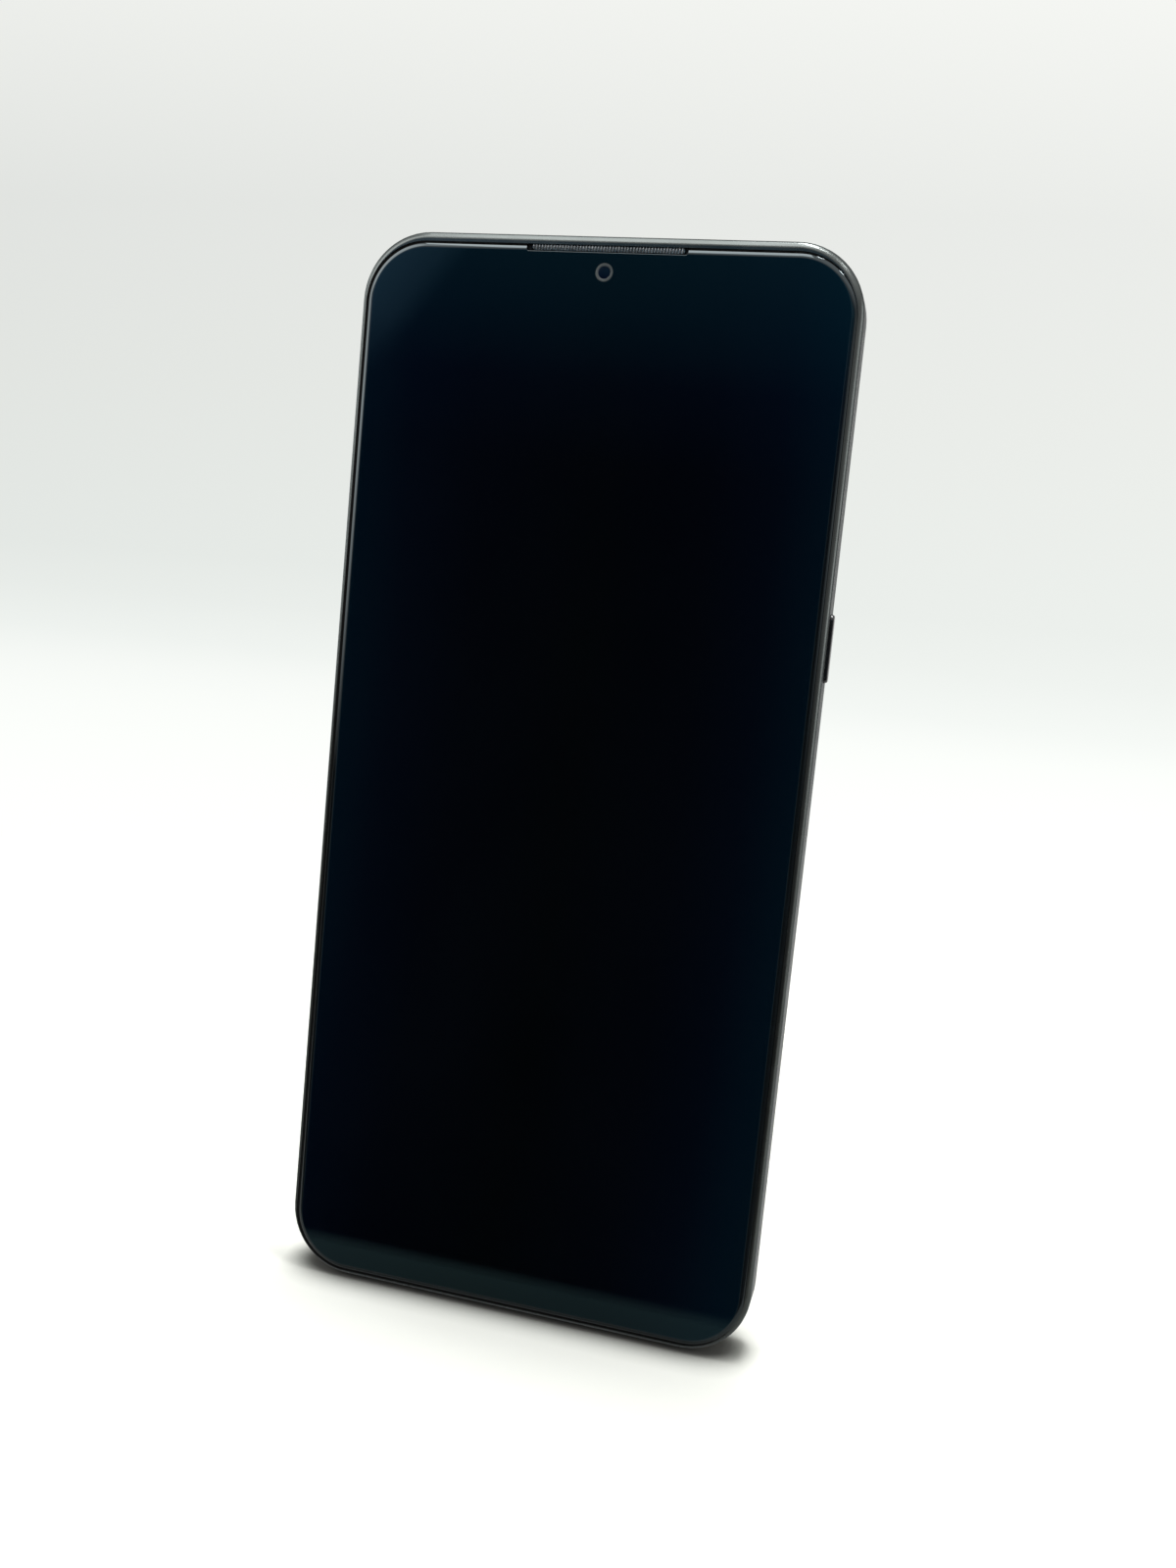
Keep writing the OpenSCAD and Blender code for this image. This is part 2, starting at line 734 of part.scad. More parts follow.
module main_camera_lens() {
  color([0.05, 0.05, 0.08]) stand() barrel(camera_spots[0], lens_r, plate_back_d + sensor_t + 0.2,
      barrel_end_d);
}

module wide_camera() {
  color([0.12, 0.12, 0.13]) stand() {
    camera_case(camera_spots[1], camera_box, camera_back_d);
    barrel(camera_spots[1], lens_r, camera_back_d - eps, barrel_end_d);
  }
}

module closeup_camera() {
  color([0.12, 0.12, 0.13]) stand() {
    camera_case(camera_spots[2], closeup_box, camera_back_d);
    barrel(camera_spots[2], closeup_r, camera_back_d - eps, barrel_end_d);
  }
}

module flash_lens() {
  color([0.9, 0.88, 0.7]) stand() {
    translate([camera_spots[3][0], camera_spots[3][1], bezel_floor_d - flash_rim_t]) {
      cylinder(r = flash_r, h = bezel_floor + flash_rim_t);
      cylinder(r = flash_r + flash_rim, h = flash_rim_t);
    }
  }
}

module flash_led() {
  spot = camera_spots[3];
  color([0.95, 0.85, 0.35]) stand() {
    back = bezel_floor_d - flash_rim_t;
    block(spot[0] - led_w / 2, spot[1] - led_w / 2, spot[0] + led_w / 2, spot[1] + led_w / 2,
        back - led_t, back);
  }
}

module front_camera() {
  h = front_box / 2;
  color([0.05, 0.05, 0.06]) stand() {
    block(-h, front_camera_z - h, h, front_camera_z + h, plate_front_d, plate_back_d + 1.8);
    barrel_up([0, front_camera_z], front_barrel_r, plate_front_d + eps, ledge_d);
  }
}

// a lens barrel with its dish towards the screen
module barrel_up(spot, r, d0, d1) {
  translate([spot[0], spot[1], 0]) difference() {
    translate([0, 0, d1]) cylinder(r = r, h = d0 - d1);
    translate([0, 0, d1 - eps]) cylinder(r = 0.6 * r, h = lens_dish);
  }
}

module front_camera_ring() {
  color([0.45, 0.47, 0.48]) stand() translate([0, front_camera_z, glass_t]) difference() {
    cylinder(d = front_ring_d, h = gasket_t);
    translate([0, 0, -eps]) cylinder(r = 0.62 * front_ring_d / 2, h = gasket_t + 2 * eps);
  }
}

// ---- earpiece ----

module earpiece_mesh() {
  w = slot_w / 2 - slot_end_slant - lay_gap;
  bottom = body_h - glass_i - slot_notch + lay_gap;
  top = body_h - band_wall - lay_gap;
  ribs = floor(2 * w / mesh_pitch);
  color([0.2, 0.2, 0.21]) stand() {
    block(-w, bottom, w, top, ledge_d - mesh_back_t, ledge_d);
    for (n = [0:ribs - 1])
      translate([(n - (ribs - 1) / 2) * mesh_pitch - mesh_rib_w / 2, bottom,
          ledge_d - mesh_back_t - mesh_rib_t])
        cube([mesh_rib_w, top - bottom, mesh_rib_t + eps]);
  }
}

module earpiece_receiver() {
  y1 = body_h - cavity_i - lay_gap;
  color([0.3, 0.3, 0.3]) stand() difference() {
    block(receiver_x, y1 - receiver_w, receiver_x + receiver_l, y1, plate_back_d,
        plate_back_d + receiver_t);
    block(duct_x, y1 - 1, duct_x + duct_l, y1 + eps, plate_back_d - eps, plate_back_d + 0.8);
  }
}

// ---- boards ----

module boss_holes(spots, d0, d1) {
  for (spot = spots) translate([spot[0], spot[1], d0]) cylinder(r = boss_r + lay_gap, h = d1 - d0);
}

module main_board() {
  h = front_box / 2 + lay_gap;
  color([0.05, 0.22, 0.14]) stand() difference() {
    intersection() {
      outline(board_i, board_d, board_back_d);
      block(-half_w, main_board_z, main_board_right, body_h, board_d, board_back_d);
    }
    block(-h, front_camera_z - h, h, body_h, board_d - eps, board_back_d + eps);
    block(receiver_x - lay_gap, body_h - cavity_i - receiver_w - port_room, body_w, body_h,
      board_d - eps, board_back_d + eps);
    boss_holes(upper_screws, board_d - eps, board_back_d + eps);
  }
}

// shield can, open towards the board
module shield_can(can) {
  difference() {
    block(can[0], can[1], can[2], can[3], board_back_d, board_back_d + shield_h);
    block(can[0] + can_wall, can[1] + can_wall, can[2] - can_wall, can[3] - can_wall,
      board_back_d - eps, board_back_d + shield_h - can_wall);
  }
}

module processor_shield() { color([0.7, 0.71, 0.72]) stand() shield_can(processor_can); }

module radio_shield() { color([0.7, 0.71, 0.72]) stand() shield_can(radio_can); }

// chip lying on the board, its top clear of the can
module chip(x, y, w, h) {
  block(x, y, x + w, y + h, board_back_d, board_back_d + shield_h - can_wall - chip_gap);
}

// a large chip and a row of two above it, in a can
module processor_chips(can) {
  left = can[0] + chip_space;
  low = can[1] + chip_space;
  right = can[2] - chip_space;
  mid = (left + right) / 2;
  row = low + processor_h + chip_space;
  chip(left, low, right - left, processor_h);
  chip(left, row, mid - chip_space / 2 - left, can[3] - chip_space - row);
  chip(mid + chip_space / 2, row, right - mid - chip_space / 2, can[3] - chip_space - row);
}

// two chips side by side in a can
module radio_chips(can) {
  mid = (can[0] + can[2]) / 2;
  w = mid - can[0] - 1.5 * chip_space;
  h = can[3] - can[1] - 1.6 * chip_space;
  chip(can[0] + chip_space, can[1] + 0.8 * chip_space, w, h);
  chip(mid + chip_space / 2, can[1] + 0.8 * chip_space, w, h);
}

module main_chips() {
  color([0.08, 0.08, 0.08]) stand() {
    processor_chips(processor_can);
    radio_chips(radio_can);
  }
}

module sub_board() {
  usb_room = usb_w / 2 + usb_wall + port_room;
  color([0.05, 0.22, 0.14]) stand() difference() {
    intersection() {
      outline(board_i, board_d, board_back_d);
      block(-half_w, 0, sub_board_right, sub_board_z, board_d, board_back_d);
    }
    block(-usb_room, 0, usb_room, usb_end_i + port_room, board_d - eps, board_back_d + eps);
    block(-jack_x - jack_w / 2 - port_room, 0, jack_w / 2 + port_room - jack_x, jack_end_i + port_room,
      board_d - eps, board_back_d + eps);
    boss_holes(lower_screws, board_d - eps, board_back_d + eps);
  }
}

// plug on a board, "lift" off it
module connector(x, y, w, h, lift) {
  block(x, y, x + w, y + h, board_back_d + lift, board_back_d + lift + connector_t);
}

module board_connectors() {
  flex_x = flex_i - half_w;
  color([0.15, 0.15, 0.15]) stand() {
    connector(lead_x, main_board_z + connector_edge, lead_w, connector_h, flex_t);
    connector(flex_x, sub_board_z - flex_tail - connector_h, flex_w, connector_h, 0);
    connector(display_flex_x - display_flex_w / 2, sub_board_z - display_flex_tail - connector_h,
      display_flex_w / 2, connector_h, 0);
  }
}

module screw_seat(spot) {
  translate([spot[0], spot[1], shroud_d - eps]) cylinder(r = screw_r + run_gap, h = shroud_t + 2 * eps);
  translate([spot[0], spot[1], shroud_back_d - screw_head_t]) cylinder(r = screw_head_r + lay_gap,
      h = screw_head_t + eps);
}

module upper_shroud() {
  color([0.12, 0.12, 0.12]) stand() difference() {
    intersection() {
      outline(board_i, shroud_d, shroud_back_d);
      block(-half_w, main_board_z, shroud_right, body_h, shroud_d, shroud_back_d);
    }
    for (spot = upper_screws) screw_seat(spot);
  }
}

module lower_shroud() {
  color([0.12, 0.12, 0.12]) stand() difference() {
    intersection() {
      outline(board_i, shroud_d, shroud_back_d);
      block(-half_w, 0, sub_board_right, sub_board_z, shroud_d, shroud_back_d);
    }
    for (spot = lower_screws) screw_seat(spot);
  }
}

// flat square turns on the upper shroud, each inside the last
module near_field_antenna() {
  left = board_i + antenna_side - half_w;
  right = shroud_right - antenna_right;
  low = board_screw_z + can_screw_gap;
  high = body_h - antenna_top;
  color([0.72, 0.42, 0.2]) stand() for (n = [0:antenna_turns - 1]) difference() {
    g = antenna_step * n;
    w = g + antenna_w;
    block(left + g, low + g, right - g, high - g, shroud_back_d, shroud_back_d + shroud_space / 2);
    block(left + w, low + w, right - w, high - w, shroud_back_d - eps, shroud_back_d + shroud_space);
  }
}

module cover_screws() {
  color([0.6, 0.6, 0.6]) stand() for (spot = concat(upper_screws, lower_screws)) translate([spot[0],
      spot[1], 0]) {
    difference() {
      translate([0, 0, shroud_back_d - screw_head_t]) cylinder(r = screw_head_r, h = screw_head_t);
      for (a = [0, 90]) translate([0, 0, shroud_back_d]) rotate([0, 0, a])
        cube([screw_slot[0], screw_slot[1], screw_head_t], center = true);
    }
    translate([0, 0, shroud_back_d - screw_head_t - screw_l]) cylinder(r = screw_r, h = screw_l + eps);
  }
}

// ---- battery ----

module battery() {
  color([0.14, 0.15, 0.17]) stand()
    round_block(-battery_w / 2, battery_z, battery_w / 2, cell_top, battery_r,
      battery_d, battery_d + battery_t);
}

module battery_circuit() {
  color([0.75, 0.6, 0.15]) stand()
    block(2 * battery_r - battery_w / 2, cell_top, battery_w / 2 - 2 * battery_r, battery_top,
      battery_d, battery_d + circuit_t);
}

module battery_lead() {
  color([0.75, 0.45, 0.15]) stand()
    block(lead_x, battery_top, lead_x + lead_w,
        main_board_z + connector_edge + connector_h + connector_edge, board_back_d, board_back_d + flex_t);
}

module battery_adhesive() {
  color([0.85, 0.85, 0.8]) stand() for (s = [0, 1]) mirror([s, 0, 0])
    block(tape_gap, battery_z + tape_edge, battery_w / 2 - tape_edge, cell_top - tape_edge, plate_back_d,
        battery_d);
}

module main_flex() {
  y0 = sub_board_z - flex_tail;
  y1 = main_board_z + flex_tail;
  flex_x = flex_i - half_w;
  color([0.75, 0.45, 0.15]) stand() {
    block(flex_x, y0, flex_x + flex_w, y1, plate_back_d, plate_back_d + flex_t);
    for (y = [y0, y1 - flex_t]) block(flex_x, y, flex_x + flex_w, y + flex_t, plate_back_d, board_d);
  }
}

// ---- ports ----

module usb_shell() {
  color([0.66, 0.67, 0.68]) stand() difference() {
    port_pill(0, port_d, usb_w + 2 * usb_wall, usb_h + 2 * usb_wall, port_in_i, usb_end_i);
    port_pill(0, port_d, usb_w, usb_h, port_in_i - eps, usb_end_i - usb_back_wall);
  }
}

module usb_tongue() {
  color([0.1, 0.1, 0.1]) stand()
    block(-usb_tongue_w / 2, port_in_i + usb_tongue_back, usb_tongue_w / 2, usb_end_i - usb_back_wall,
      port_d - usb_tongue_t / 2, port_d + usb_tongue_t / 2);
}

module headphone_jack() {
  color([0.1, 0.1, 0.1]) stand() difference() {
    block(-jack_x - jack_w / 2, port_in_i, jack_w / 2 - jack_x, jack_end_i,
      port_d - jack_block_t / 2, port_d + jack_block_t / 2);
    post(-jack_x, port_d, jack_bore_r, port_in_i - eps, port_in_i + jack_bore_l);
  }
}

// contact strips along the jack's sides
module jack_springs() {
  color([0.8, 0.65, 0.25]) stand() for (s = [-1, 1])
    block(s * (jack_w / 2 + jack_spring_t / 2) - jack_x - jack_spring_t / 2, jack_end_i - jack_spring_l - 1,
      s * (jack_w / 2 + jack_spring_t / 2) - jack_x + jack_spring_t / 2, jack_end_i - 1,
      port_d - jack_spring_w / 2, port_d + jack_spring_w / 2);
}

module microphones() {
  color([0.75, 0.72, 0.5]) stand() {
    block(low_mic_x - mic_w / 2, board_i + 0.4, low_mic_x + mic_w / 2, board_i + 0.4 + mic_h,
        board_back_d, board_back_d + mic_t);
    block(top_mic_x - mic_w / 2, body_h - board_i - 1.4 - mic_h, top_mic_x + mic_w / 2,
        body_h - board_i - 1.4,
      board_back_d, board_back_d + mic_t);
  }
}

// ---- loudspeaker ----

module loudspeaker_box() {
  x1 = speaker_x + speaker_w;
  y1 = speaker_i + speaker_h;
  back = plate_back_d + speaker_t;
  color([0.1, 0.1, 0.11]) stand() difference() {
    intersection() {
      outline(speaker_i, plate_back_d, back);
      block(speaker_x, 0, x1, y1, plate_back_d, back);
    }
    intersection() {
      outline(speaker_i + speaker_wall, plate_back_d + speaker_wall, back - speaker_wall);
      block(speaker_x + speaker_wall, 0, x1 - speaker_wall, y1 - speaker_wall,
        plate_back_d + speaker_wall, back - speaker_wall);
    }
    block(speaker_x + 2, speaker_i - eps, half_w - corner_r, speaker_i + speaker_wall + eps,
        port_d - 0.8, port_d + 0.8);
  }
}

module loudspeaker_magnet() {
  x = speaker_x + speaker_w / 2;
  y = speaker_i + speaker_h / 2 + 1.5;
  color([0.45, 0.46, 0.48]) stand()
    round_block(x - cone_w / 2, y - cone_h / 2, x + cone_w / 2, y + cone_h / 2, cone_r,
      plate_back_d + speaker_wall, plate_back_d + speaker_wall + magnet_t);
}

module loudspeaker_cone() {
  x = speaker_x + speaker_w / 2;
  y = speaker_i + speaker_h / 2 + 1.5;
  d = plate_back_d + speaker_wall + magnet_t;
  color([0.2, 0.2, 0.2]) stand() {
    round_block(x - cone_w / 2, y - cone_h / 2, x + cone_w / 2, y + cone_h / 2, cone_r, d, d + cone_t);
    round_block(x - cone_w / 2 + 2, y - cone_h / 2 + 2, x + cone_w / 2 - 2, y + cone_h / 2 - 2, cone_r,
      d + cone_t - eps, d + cone_t + 0.3);
  }
}

// ---- vibration motor ----

module motor_case() {
  color([0.65, 0.66, 0.67]) stand() difference() {
    union() {
      translate([motor_x, motor_z, motor_d]) rotate([0, 90, 0]) cylinder(r = motor_r, h = motor_l);
      block(motor_x, motor_z - motor_foot_w / 2, motor_x + motor_l, motor_z + motor_foot_w / 2,
          plate_back_d, motor_d);
    }
    translate([motor_x - eps, motor_z, motor_d]) rotate([0, 90, 0])
      cylinder(r = motor_shaft_r + run_gap, h = motor_l - 1);
  }
}

module motor_shaft() {
  reach = weight_l + weight_gap;
  color([0.75, 0.75, 0.76]) stand()
    translate([motor_x - reach, motor_z, motor_d]) rotate([0, 90, 0]) cylinder(r = motor_shaft_r,
        h = reach + motor_l - 1.3);
}

module motor_weight() {
  x0 = motor_x - weight_l - weight_gap;
  color([0.5, 0.5, 0.52]) stand() difference() {
    union() {
      intersection() {
        translate([x0, motor_z, motor_d]) rotate([0, 90, 0]) cylinder(r = weight_r, h = weight_l);
        block(x0 - 1, motor_z - weight_r - 1, x0 + weight_l + 1, motor_z, motor_d - weight_r - 1,
            motor_d + weight_r + 1);
      }
      translate([x0, motor_z, motor_d]) rotate([0, 90, 0]) cylinder(r = 2 * motor_shaft_r, h = weight_l);
    }
    translate([x0 - eps, motor_z, motor_d]) rotate([0, 90, 0]) cylinder(r = motor_shaft_r,
        h = weight_l + 2 * eps);
  }
}

// ---- keys ----

// key on the right side; its cap passes the band and its flange stays behind it
module key(z, l) {
  rim_l = key_flange_rim;
  side_pill(z, key_d, l, key_t, half_w - key_flange_i - eps, half_w + key_proud - key_edge);
  side_pill(z, key_d, l - 2 * key_edge, key_t - 2 * key_edge, half_w, half_w + key_proud);
  block(half_w - key_flange_i - key_flange, z - l / 2 - rim_l, half_w - key_flange_i, z + l / 2 + rim_l,
    key_d - key_t / 2 - rim_l, key_d + key_t / 2 + rim_l);
  translate([half_w - key_nub_end_i, z, key_d]) rotate([0, 90, 0]) cylinder(r = key_nub_r,
      h = key_nub_l + eps);
}

module power_key() { color([0.03, 0.03, 0.035]) stand() key(power_z, power_l); }

module volume_up_key() { color([0.1, 0.1, 0.11]) stand() mirror([1, 0, 0]) key(volume_up_z, volume_l); }

module volume_down_key() { color([0.1, 0.1, 0.11]) stand() mirror([1, 0, 0]) key(volume_down_z, volume_l); }

// dome switch on the right side
module key_switch(z) {
  block(half_w - key_flex_i, z - switch_w / 2, half_w - switch_i - dome_h, z + switch_w / 2,
    key_d - switch_t / 2, key_d + switch_t / 2);
  translate([half_w - switch_i - dome_h - eps, z, key_d]) rotate([0, 90, 0]) cylinder(r = dome_r,
      h = dome_h + eps);
}

module key_switches() {
  color([0.7, 0.7, 0.68]) stand() {
    key_switch(power_z);
    mirror([1, 0, 0]) {
      key_switch(volume_up_z);
      key_switch(volume_down_z);
    }
  }
}

module key_flex() {
  x0 = half_w - key_rib_i;
  low = key_d - switch_t / 2;
  color([0.75, 0.45, 0.15]) stand() {
    block(x0, power_z - power_l / 2 + 0.5, x0 + flex_t, power_z + power_l / 2 - 0.5, low,
        key_d + switch_t / 2);
    mirror([1, 0, 0])
      block(x0, volume_down_z - volume_l / 2 + 0.5, x0 + flex_t, volume_up_z + volume_l / 2 - 0.5, low,
          key_d + switch_t / 2);
  }
}

// ---- SIM tray ----

module sim_tray() {
  x0 = tray_i - half_w;
  front = tray_d - tray_t / 2;
  color([0.32, 0.33, 0.34]) stand() difference() {
    union() {
      side_pill(tray_z, tray_d, tray_l, tray_head_t, -half_w, x0);
      block(x0 - eps, tray_z - blade_w / 2, tray_reach - half_w, tray_z + blade_w / 2, front,
          front + tray_t);
    }
    block(card_i - half_w - card_gap, tray_z - card_w / 2 - card_gap, card_i + card_l + card_gap - half_w,
      tray_z + card_w / 2 + card_gap, front + tray_t - card_t - card_gap, front + tray_t + eps);
    pin_way(-half_w - eps, x0 + eps);
  }
}

module sim_card() {
  x0 = card_i - half_w;
  back = tray_d + tray_t / 2;
  color([0.9, 0.9, 0.88]) stand()
    block(x0, tray_z - card_w / 2, x0 + card_l, tray_z + card_w / 2, back - card_t - card_gap,
        back - card_gap);
}

module sim_reader() {
  w = blade_w / 2 + slide_gap;
  color([0.68, 0.69, 0.7]) stand() difference() {
    block(reader_i - half_w, tray_z - w - reader_wall / 2, reader_end_i - half_w,
        tray_z + w + reader_wall / 2,
      board_back_d, reader_back_d);
    block(reader_i - half_w - eps, tray_z - w, tray_reach + slide_gap - half_w, tray_z + w,
      tray_d - tray_t / 2 - slide_gap, tray_d + tray_t / 2 + slide_gap);
  }
}

// eject rod with its bent end behind the tray's blade
module sim_ejector() {
  y = pin_hole_z;
  color([0.7, 0.7, 0.7]) stand()
    block(cavity_i + lay_gap - half_w, y - ejector_w / 2, cavity_i + ejector_l - half_w, y + ejector_w / 2,
      board_back_d, board_back_d + ejector_w);
}

front_glass();
display_panel();
display_gasket();
heat_spreader();
display_flex();
chassis();
side_band();
back_cover();
camera_bezel();
camera_cover_glass();
earpiece_mesh();
earpiece_receiver();
front_camera();
front_camera_ring();
main_camera_housing();
main_camera_lens();
wide_camera();
closeup_camera();
flash_lens();
flash_led();
main_board();
main_chips();
processor_shield();
radio_shield();
sub_board();
board_connectors();
upper_shroud();
lower_shroud();
near_field_antenna();
cover_screws();
battery();
battery_circuit();
battery_lead();
battery_adhesive();
main_flex();
usb_shell();
usb_tongue();
headphone_jack();
jack_springs();
microphones();
loudspeaker_box();
loudspeaker_cone();
loudspeaker_magnet();
motor_case();
motor_shaft();
motor_weight();
power_key();
volume_up_key();
volume_down_key();
key_switches();
key_flex();
sim_tray();
sim_card();
sim_reader();
sim_ejector();
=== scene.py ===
import bpy, bmesh, math
from mathutils import Vector, Matrix


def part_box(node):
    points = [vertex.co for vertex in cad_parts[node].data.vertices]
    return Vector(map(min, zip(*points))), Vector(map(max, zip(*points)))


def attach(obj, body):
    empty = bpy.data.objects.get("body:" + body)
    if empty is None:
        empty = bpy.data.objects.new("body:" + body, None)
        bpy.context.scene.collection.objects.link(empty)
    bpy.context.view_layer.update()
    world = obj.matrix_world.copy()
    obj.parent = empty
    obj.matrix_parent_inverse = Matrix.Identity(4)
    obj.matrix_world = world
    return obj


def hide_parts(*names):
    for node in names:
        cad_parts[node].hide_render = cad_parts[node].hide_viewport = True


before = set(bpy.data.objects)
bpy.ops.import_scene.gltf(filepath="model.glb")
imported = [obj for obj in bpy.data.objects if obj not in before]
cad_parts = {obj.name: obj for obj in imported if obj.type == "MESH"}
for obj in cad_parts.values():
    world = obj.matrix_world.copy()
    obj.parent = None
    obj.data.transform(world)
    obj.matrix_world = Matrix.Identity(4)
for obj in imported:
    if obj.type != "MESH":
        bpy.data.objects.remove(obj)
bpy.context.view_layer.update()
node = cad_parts
print("frame loaded:", len(node), "nodes")


# small helpers for modelling by hand
def mm(value):
    return value / 1000.0


# the body's outline and front plane, how close counts as touching, how far a cutter reaches beyond
bandLow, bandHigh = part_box("side_band")
bodyFront = -0.00485
near = mm(0.01)
past = mm(1)


def clearPick():
    if bpy.context.object and bpy.context.object.mode != "OBJECT":
        bpy.ops.object.mode_set(mode="OBJECT")
    bpy.ops.object.select_all(action="DESELECT")


def startPiece(name):
    # names the primitive that was just added and bakes its place into the mesh
    piece = bpy.context.object
    piece.name = piece.data.name = name
    bpy.ops.object.transform_apply(location=True, rotation=True, scale=True)
    return piece


def slab(name, low, high):
    clearPick()
    low, high = Vector(low), Vector(high)
    bpy.ops.mesh.primitive_cube_add(size=1, location=(low + high) / 2, scale=high - low)
    return startPiece(name)


def rod(name, radius, low, high, axis="Y", sides=64):
    clearPick()
    low, high = Vector(low), Vector(high)
    turn = {"X": (0, math.pi / 2, 0), "Y": (math.pi / 2, 0, 0), "Z": (0, 0, 0)}[axis]
    bpy.ops.mesh.primitive_cylinder_add(vertices=sides, radius=radius, depth=(high - low).length,
                                        location=(low + high) / 2, rotation=turn)
    return startPiece(name)


def openUp(piece):
    clearPick()
    bpy.context.view_layer.objects.active = piece
    piece.select_set(True)
    bpy.ops.object.mode_set(mode="EDIT")
    bpy.ops.mesh.select_all(action="DESELECT")


def pickFaces(piece, test):
    bpy.ops.mesh.select_mode(type="FACE")
    bpy.ops.mesh.select_all(action="DESELECT")
    mesh = bmesh.from_edit_mesh(piece.data)
    for face in mesh.faces:
        face.select_set(bool(test(face.calc_center_median(), face.normal)))
    bmesh.update_edit_mesh(piece.data)


def pickFront(piece):
    pickFaces(piece, lambda c, n: n.y < -0.9)


def pickBack(piece):
    pickFaces(piece, lambda c, n: n.y > 0.9)


def pickEdges(piece, test):
    bpy.ops.mesh.select_mode(type="EDGE")
    bpy.ops.mesh.select_all(action="DESELECT")
    mesh = bmesh.from_edit_mesh(piece.data)
    for edge in mesh.edges:
        edge.select_set(bool(test(edge.verts[0].co, edge.verts[1].co)))
    bmesh.update_edit_mesh(piece.data)


def closeUp(piece, smoothBelow=35):
    bpy.ops.object.mode_set(mode="OBJECT")
    bpy.ops.object.shade_smooth_by_angle(angle=math.radians(smoothBelow))
    return piece


def stepIn(steps, out=(0, -1, 0)):
    # turns the picked end face inwards ring by ring: how far in, how far out, in mm
    for inward, outward in steps:
        if inward:
            bpy.ops.mesh.inset(thickness=mm(inward))
        else:
            bpy.ops.mesh.extrude_region_move()
        if outward:
            bpy.ops.transform.translate(value=tuple(mm(outward) * way for way in out))


def joinUp(first, *others):
    clearPick()
    for piece in (first, *others):
        piece.select_set(True)
    bpy.context.view_layer.objects.active = first
    bpy.ops.object.join()
    return first


def applyModifiers(piece):
    clearPick()
    bpy.context.view_layer.objects.active = piece
    piece.select_set(True)
    for modifier in list(piece.modifiers):
        bpy.ops.object.modifier_apply(modifier=modifier.name)


def evenNormals(piece):
    # keeps the flat faces flat beside their rounded rims
    weigh = piece.modifiers.new("weigh", "WEIGHTED_NORMAL")
    weigh.keep_sharp = True
    applyModifiers(piece)


def boreOut(piece, cutter):
    cut = piece.modifiers.new("bore", "BOOLEAN")
    cut.operation = "DIFFERENCE"
    cut.solver = "EXACT"
    cut.object = cutter
    applyModifiers(piece)
    bpy.data.objects.remove(cutter, do_unlink=True)


def drill(piece, radius, x, z, low, high, sides):
    # a round hole right through, from front to back
    boreOut(piece, rod("hole", radius, (x, low - past, z), (x, high + past, z), "Y", sides))


def roundedSheet(name, margins, corner, front, back, steps=32):
    # a sheet with the body's outline, drawn in by a margin at each side
    left, right, foot, head = (mm(margin) for margin in margins)
    west, east, south, north = bandLow.x + left, bandHigh.x - right, bandLow.z + foot, bandHigh.z - head
    clearPick()
    bpy.ops.mesh.primitive_plane_add(size=1, location=((west + east) / 2, front, (south + north) / 2),
                                     rotation=(math.pi / 2, 0, 0))
    sheet = bpy.context.object
    sheet.scale = (east - west, north - south, 1)
    sheet = startPiece(name)
    openUp(sheet)
    bpy.ops.mesh.select_mode(type="VERT")
    bpy.ops.mesh.select_all(action="SELECT")
    bpy.ops.mesh.bevel(offset=mm(corner), segments=steps, affect="VERTICES", clamp_overlap=False)
    bpy.ops.mesh.select_all(action="SELECT")
    bpy.ops.mesh.extrude_region_move(TRANSFORM_OT_translate={"value": (0, back - front, 0)})
    bpy.ops.mesh.select_all(action="SELECT")
    bpy.ops.mesh.normals_make_consistent(inside=False)
    return sheet


def insetOf(v, margins, corner):
    # how far inside a rounded outline a point lies
    left, right, foot, head = (mm(margin) for margin in margins)
    across = min(v.x - bandLow.x - left, bandHigh.x - right - v.x)
    up = min(v.z - bandLow.z - foot, bandHigh.z - head - v.z)
    corner = mm(corner)
    if across > corner or up > corner:
        return min(across, up)
    return corner - math.hypot(corner - across, corner - up)


# finishes
def newFinish(name):
    finish = bpy.data.materials.new(name)
    finish.use_nodes = True
    tree = finish.node_tree
    shader = tree.nodes["Principled BSDF"]
    place = tree.nodes.new("ShaderNodeTexCoord").outputs["Object"]
    return finish, tree, shader, place


def noiseOn(tree, place, scale, detail=3.0, stretch=(1, 1, 1)):
    spread = tree.nodes.new("ShaderNodeMapping")
    spread.inputs["Scale"].default_value = stretch
    tree.links.new(place, spread.inputs["Vector"])
    noise = tree.nodes.new("ShaderNodeTexNoise")
    noise.inputs["Scale"].default_value = scale
    noise.inputs["Detail"].default_value = detail
    tree.links.new(spread.outputs["Vector"], noise.inputs["Vector"])
    return noise.outputs["Fac"]


def rampOf(tree, amount, tones):
    ramp = tree.nodes.new("ShaderNodeValToRGB")
    stops = ramp.color_ramp.elements
    while len(stops) < len(tones):
        stops.new(0.5)
    for stop, (at, tone) in zip(stops, tones):
        stop.position = at
        stop.color = (*tone, 1)
    tree.links.new(amount, ramp.inputs["Fac"])
    return ramp.outputs["Color"]


def rangeOf(tree, amount, low, high, start=0.3, end=0.7):
    spread = tree.nodes.new("ShaderNodeMapRange")
    spread.inputs["From Min"].default_value = start
    spread.inputs["From Max"].default_value = end
    spread.inputs["To Min"].default_value = low
    spread.inputs["To Max"].default_value = high
    tree.links.new(amount, spread.inputs["Value"])
    return spread.outputs["Result"]


def mathOf(tree, kind, first, second):
    step = tree.nodes.new("ShaderNodeMath")
    step.operation = kind
    for socket, value in zip(step.inputs, (first, second)):
        if isinstance(value, (int, float)):
            socket.default_value = value
        else:
            tree.links.new(value, socket)
    return step.outputs[0]


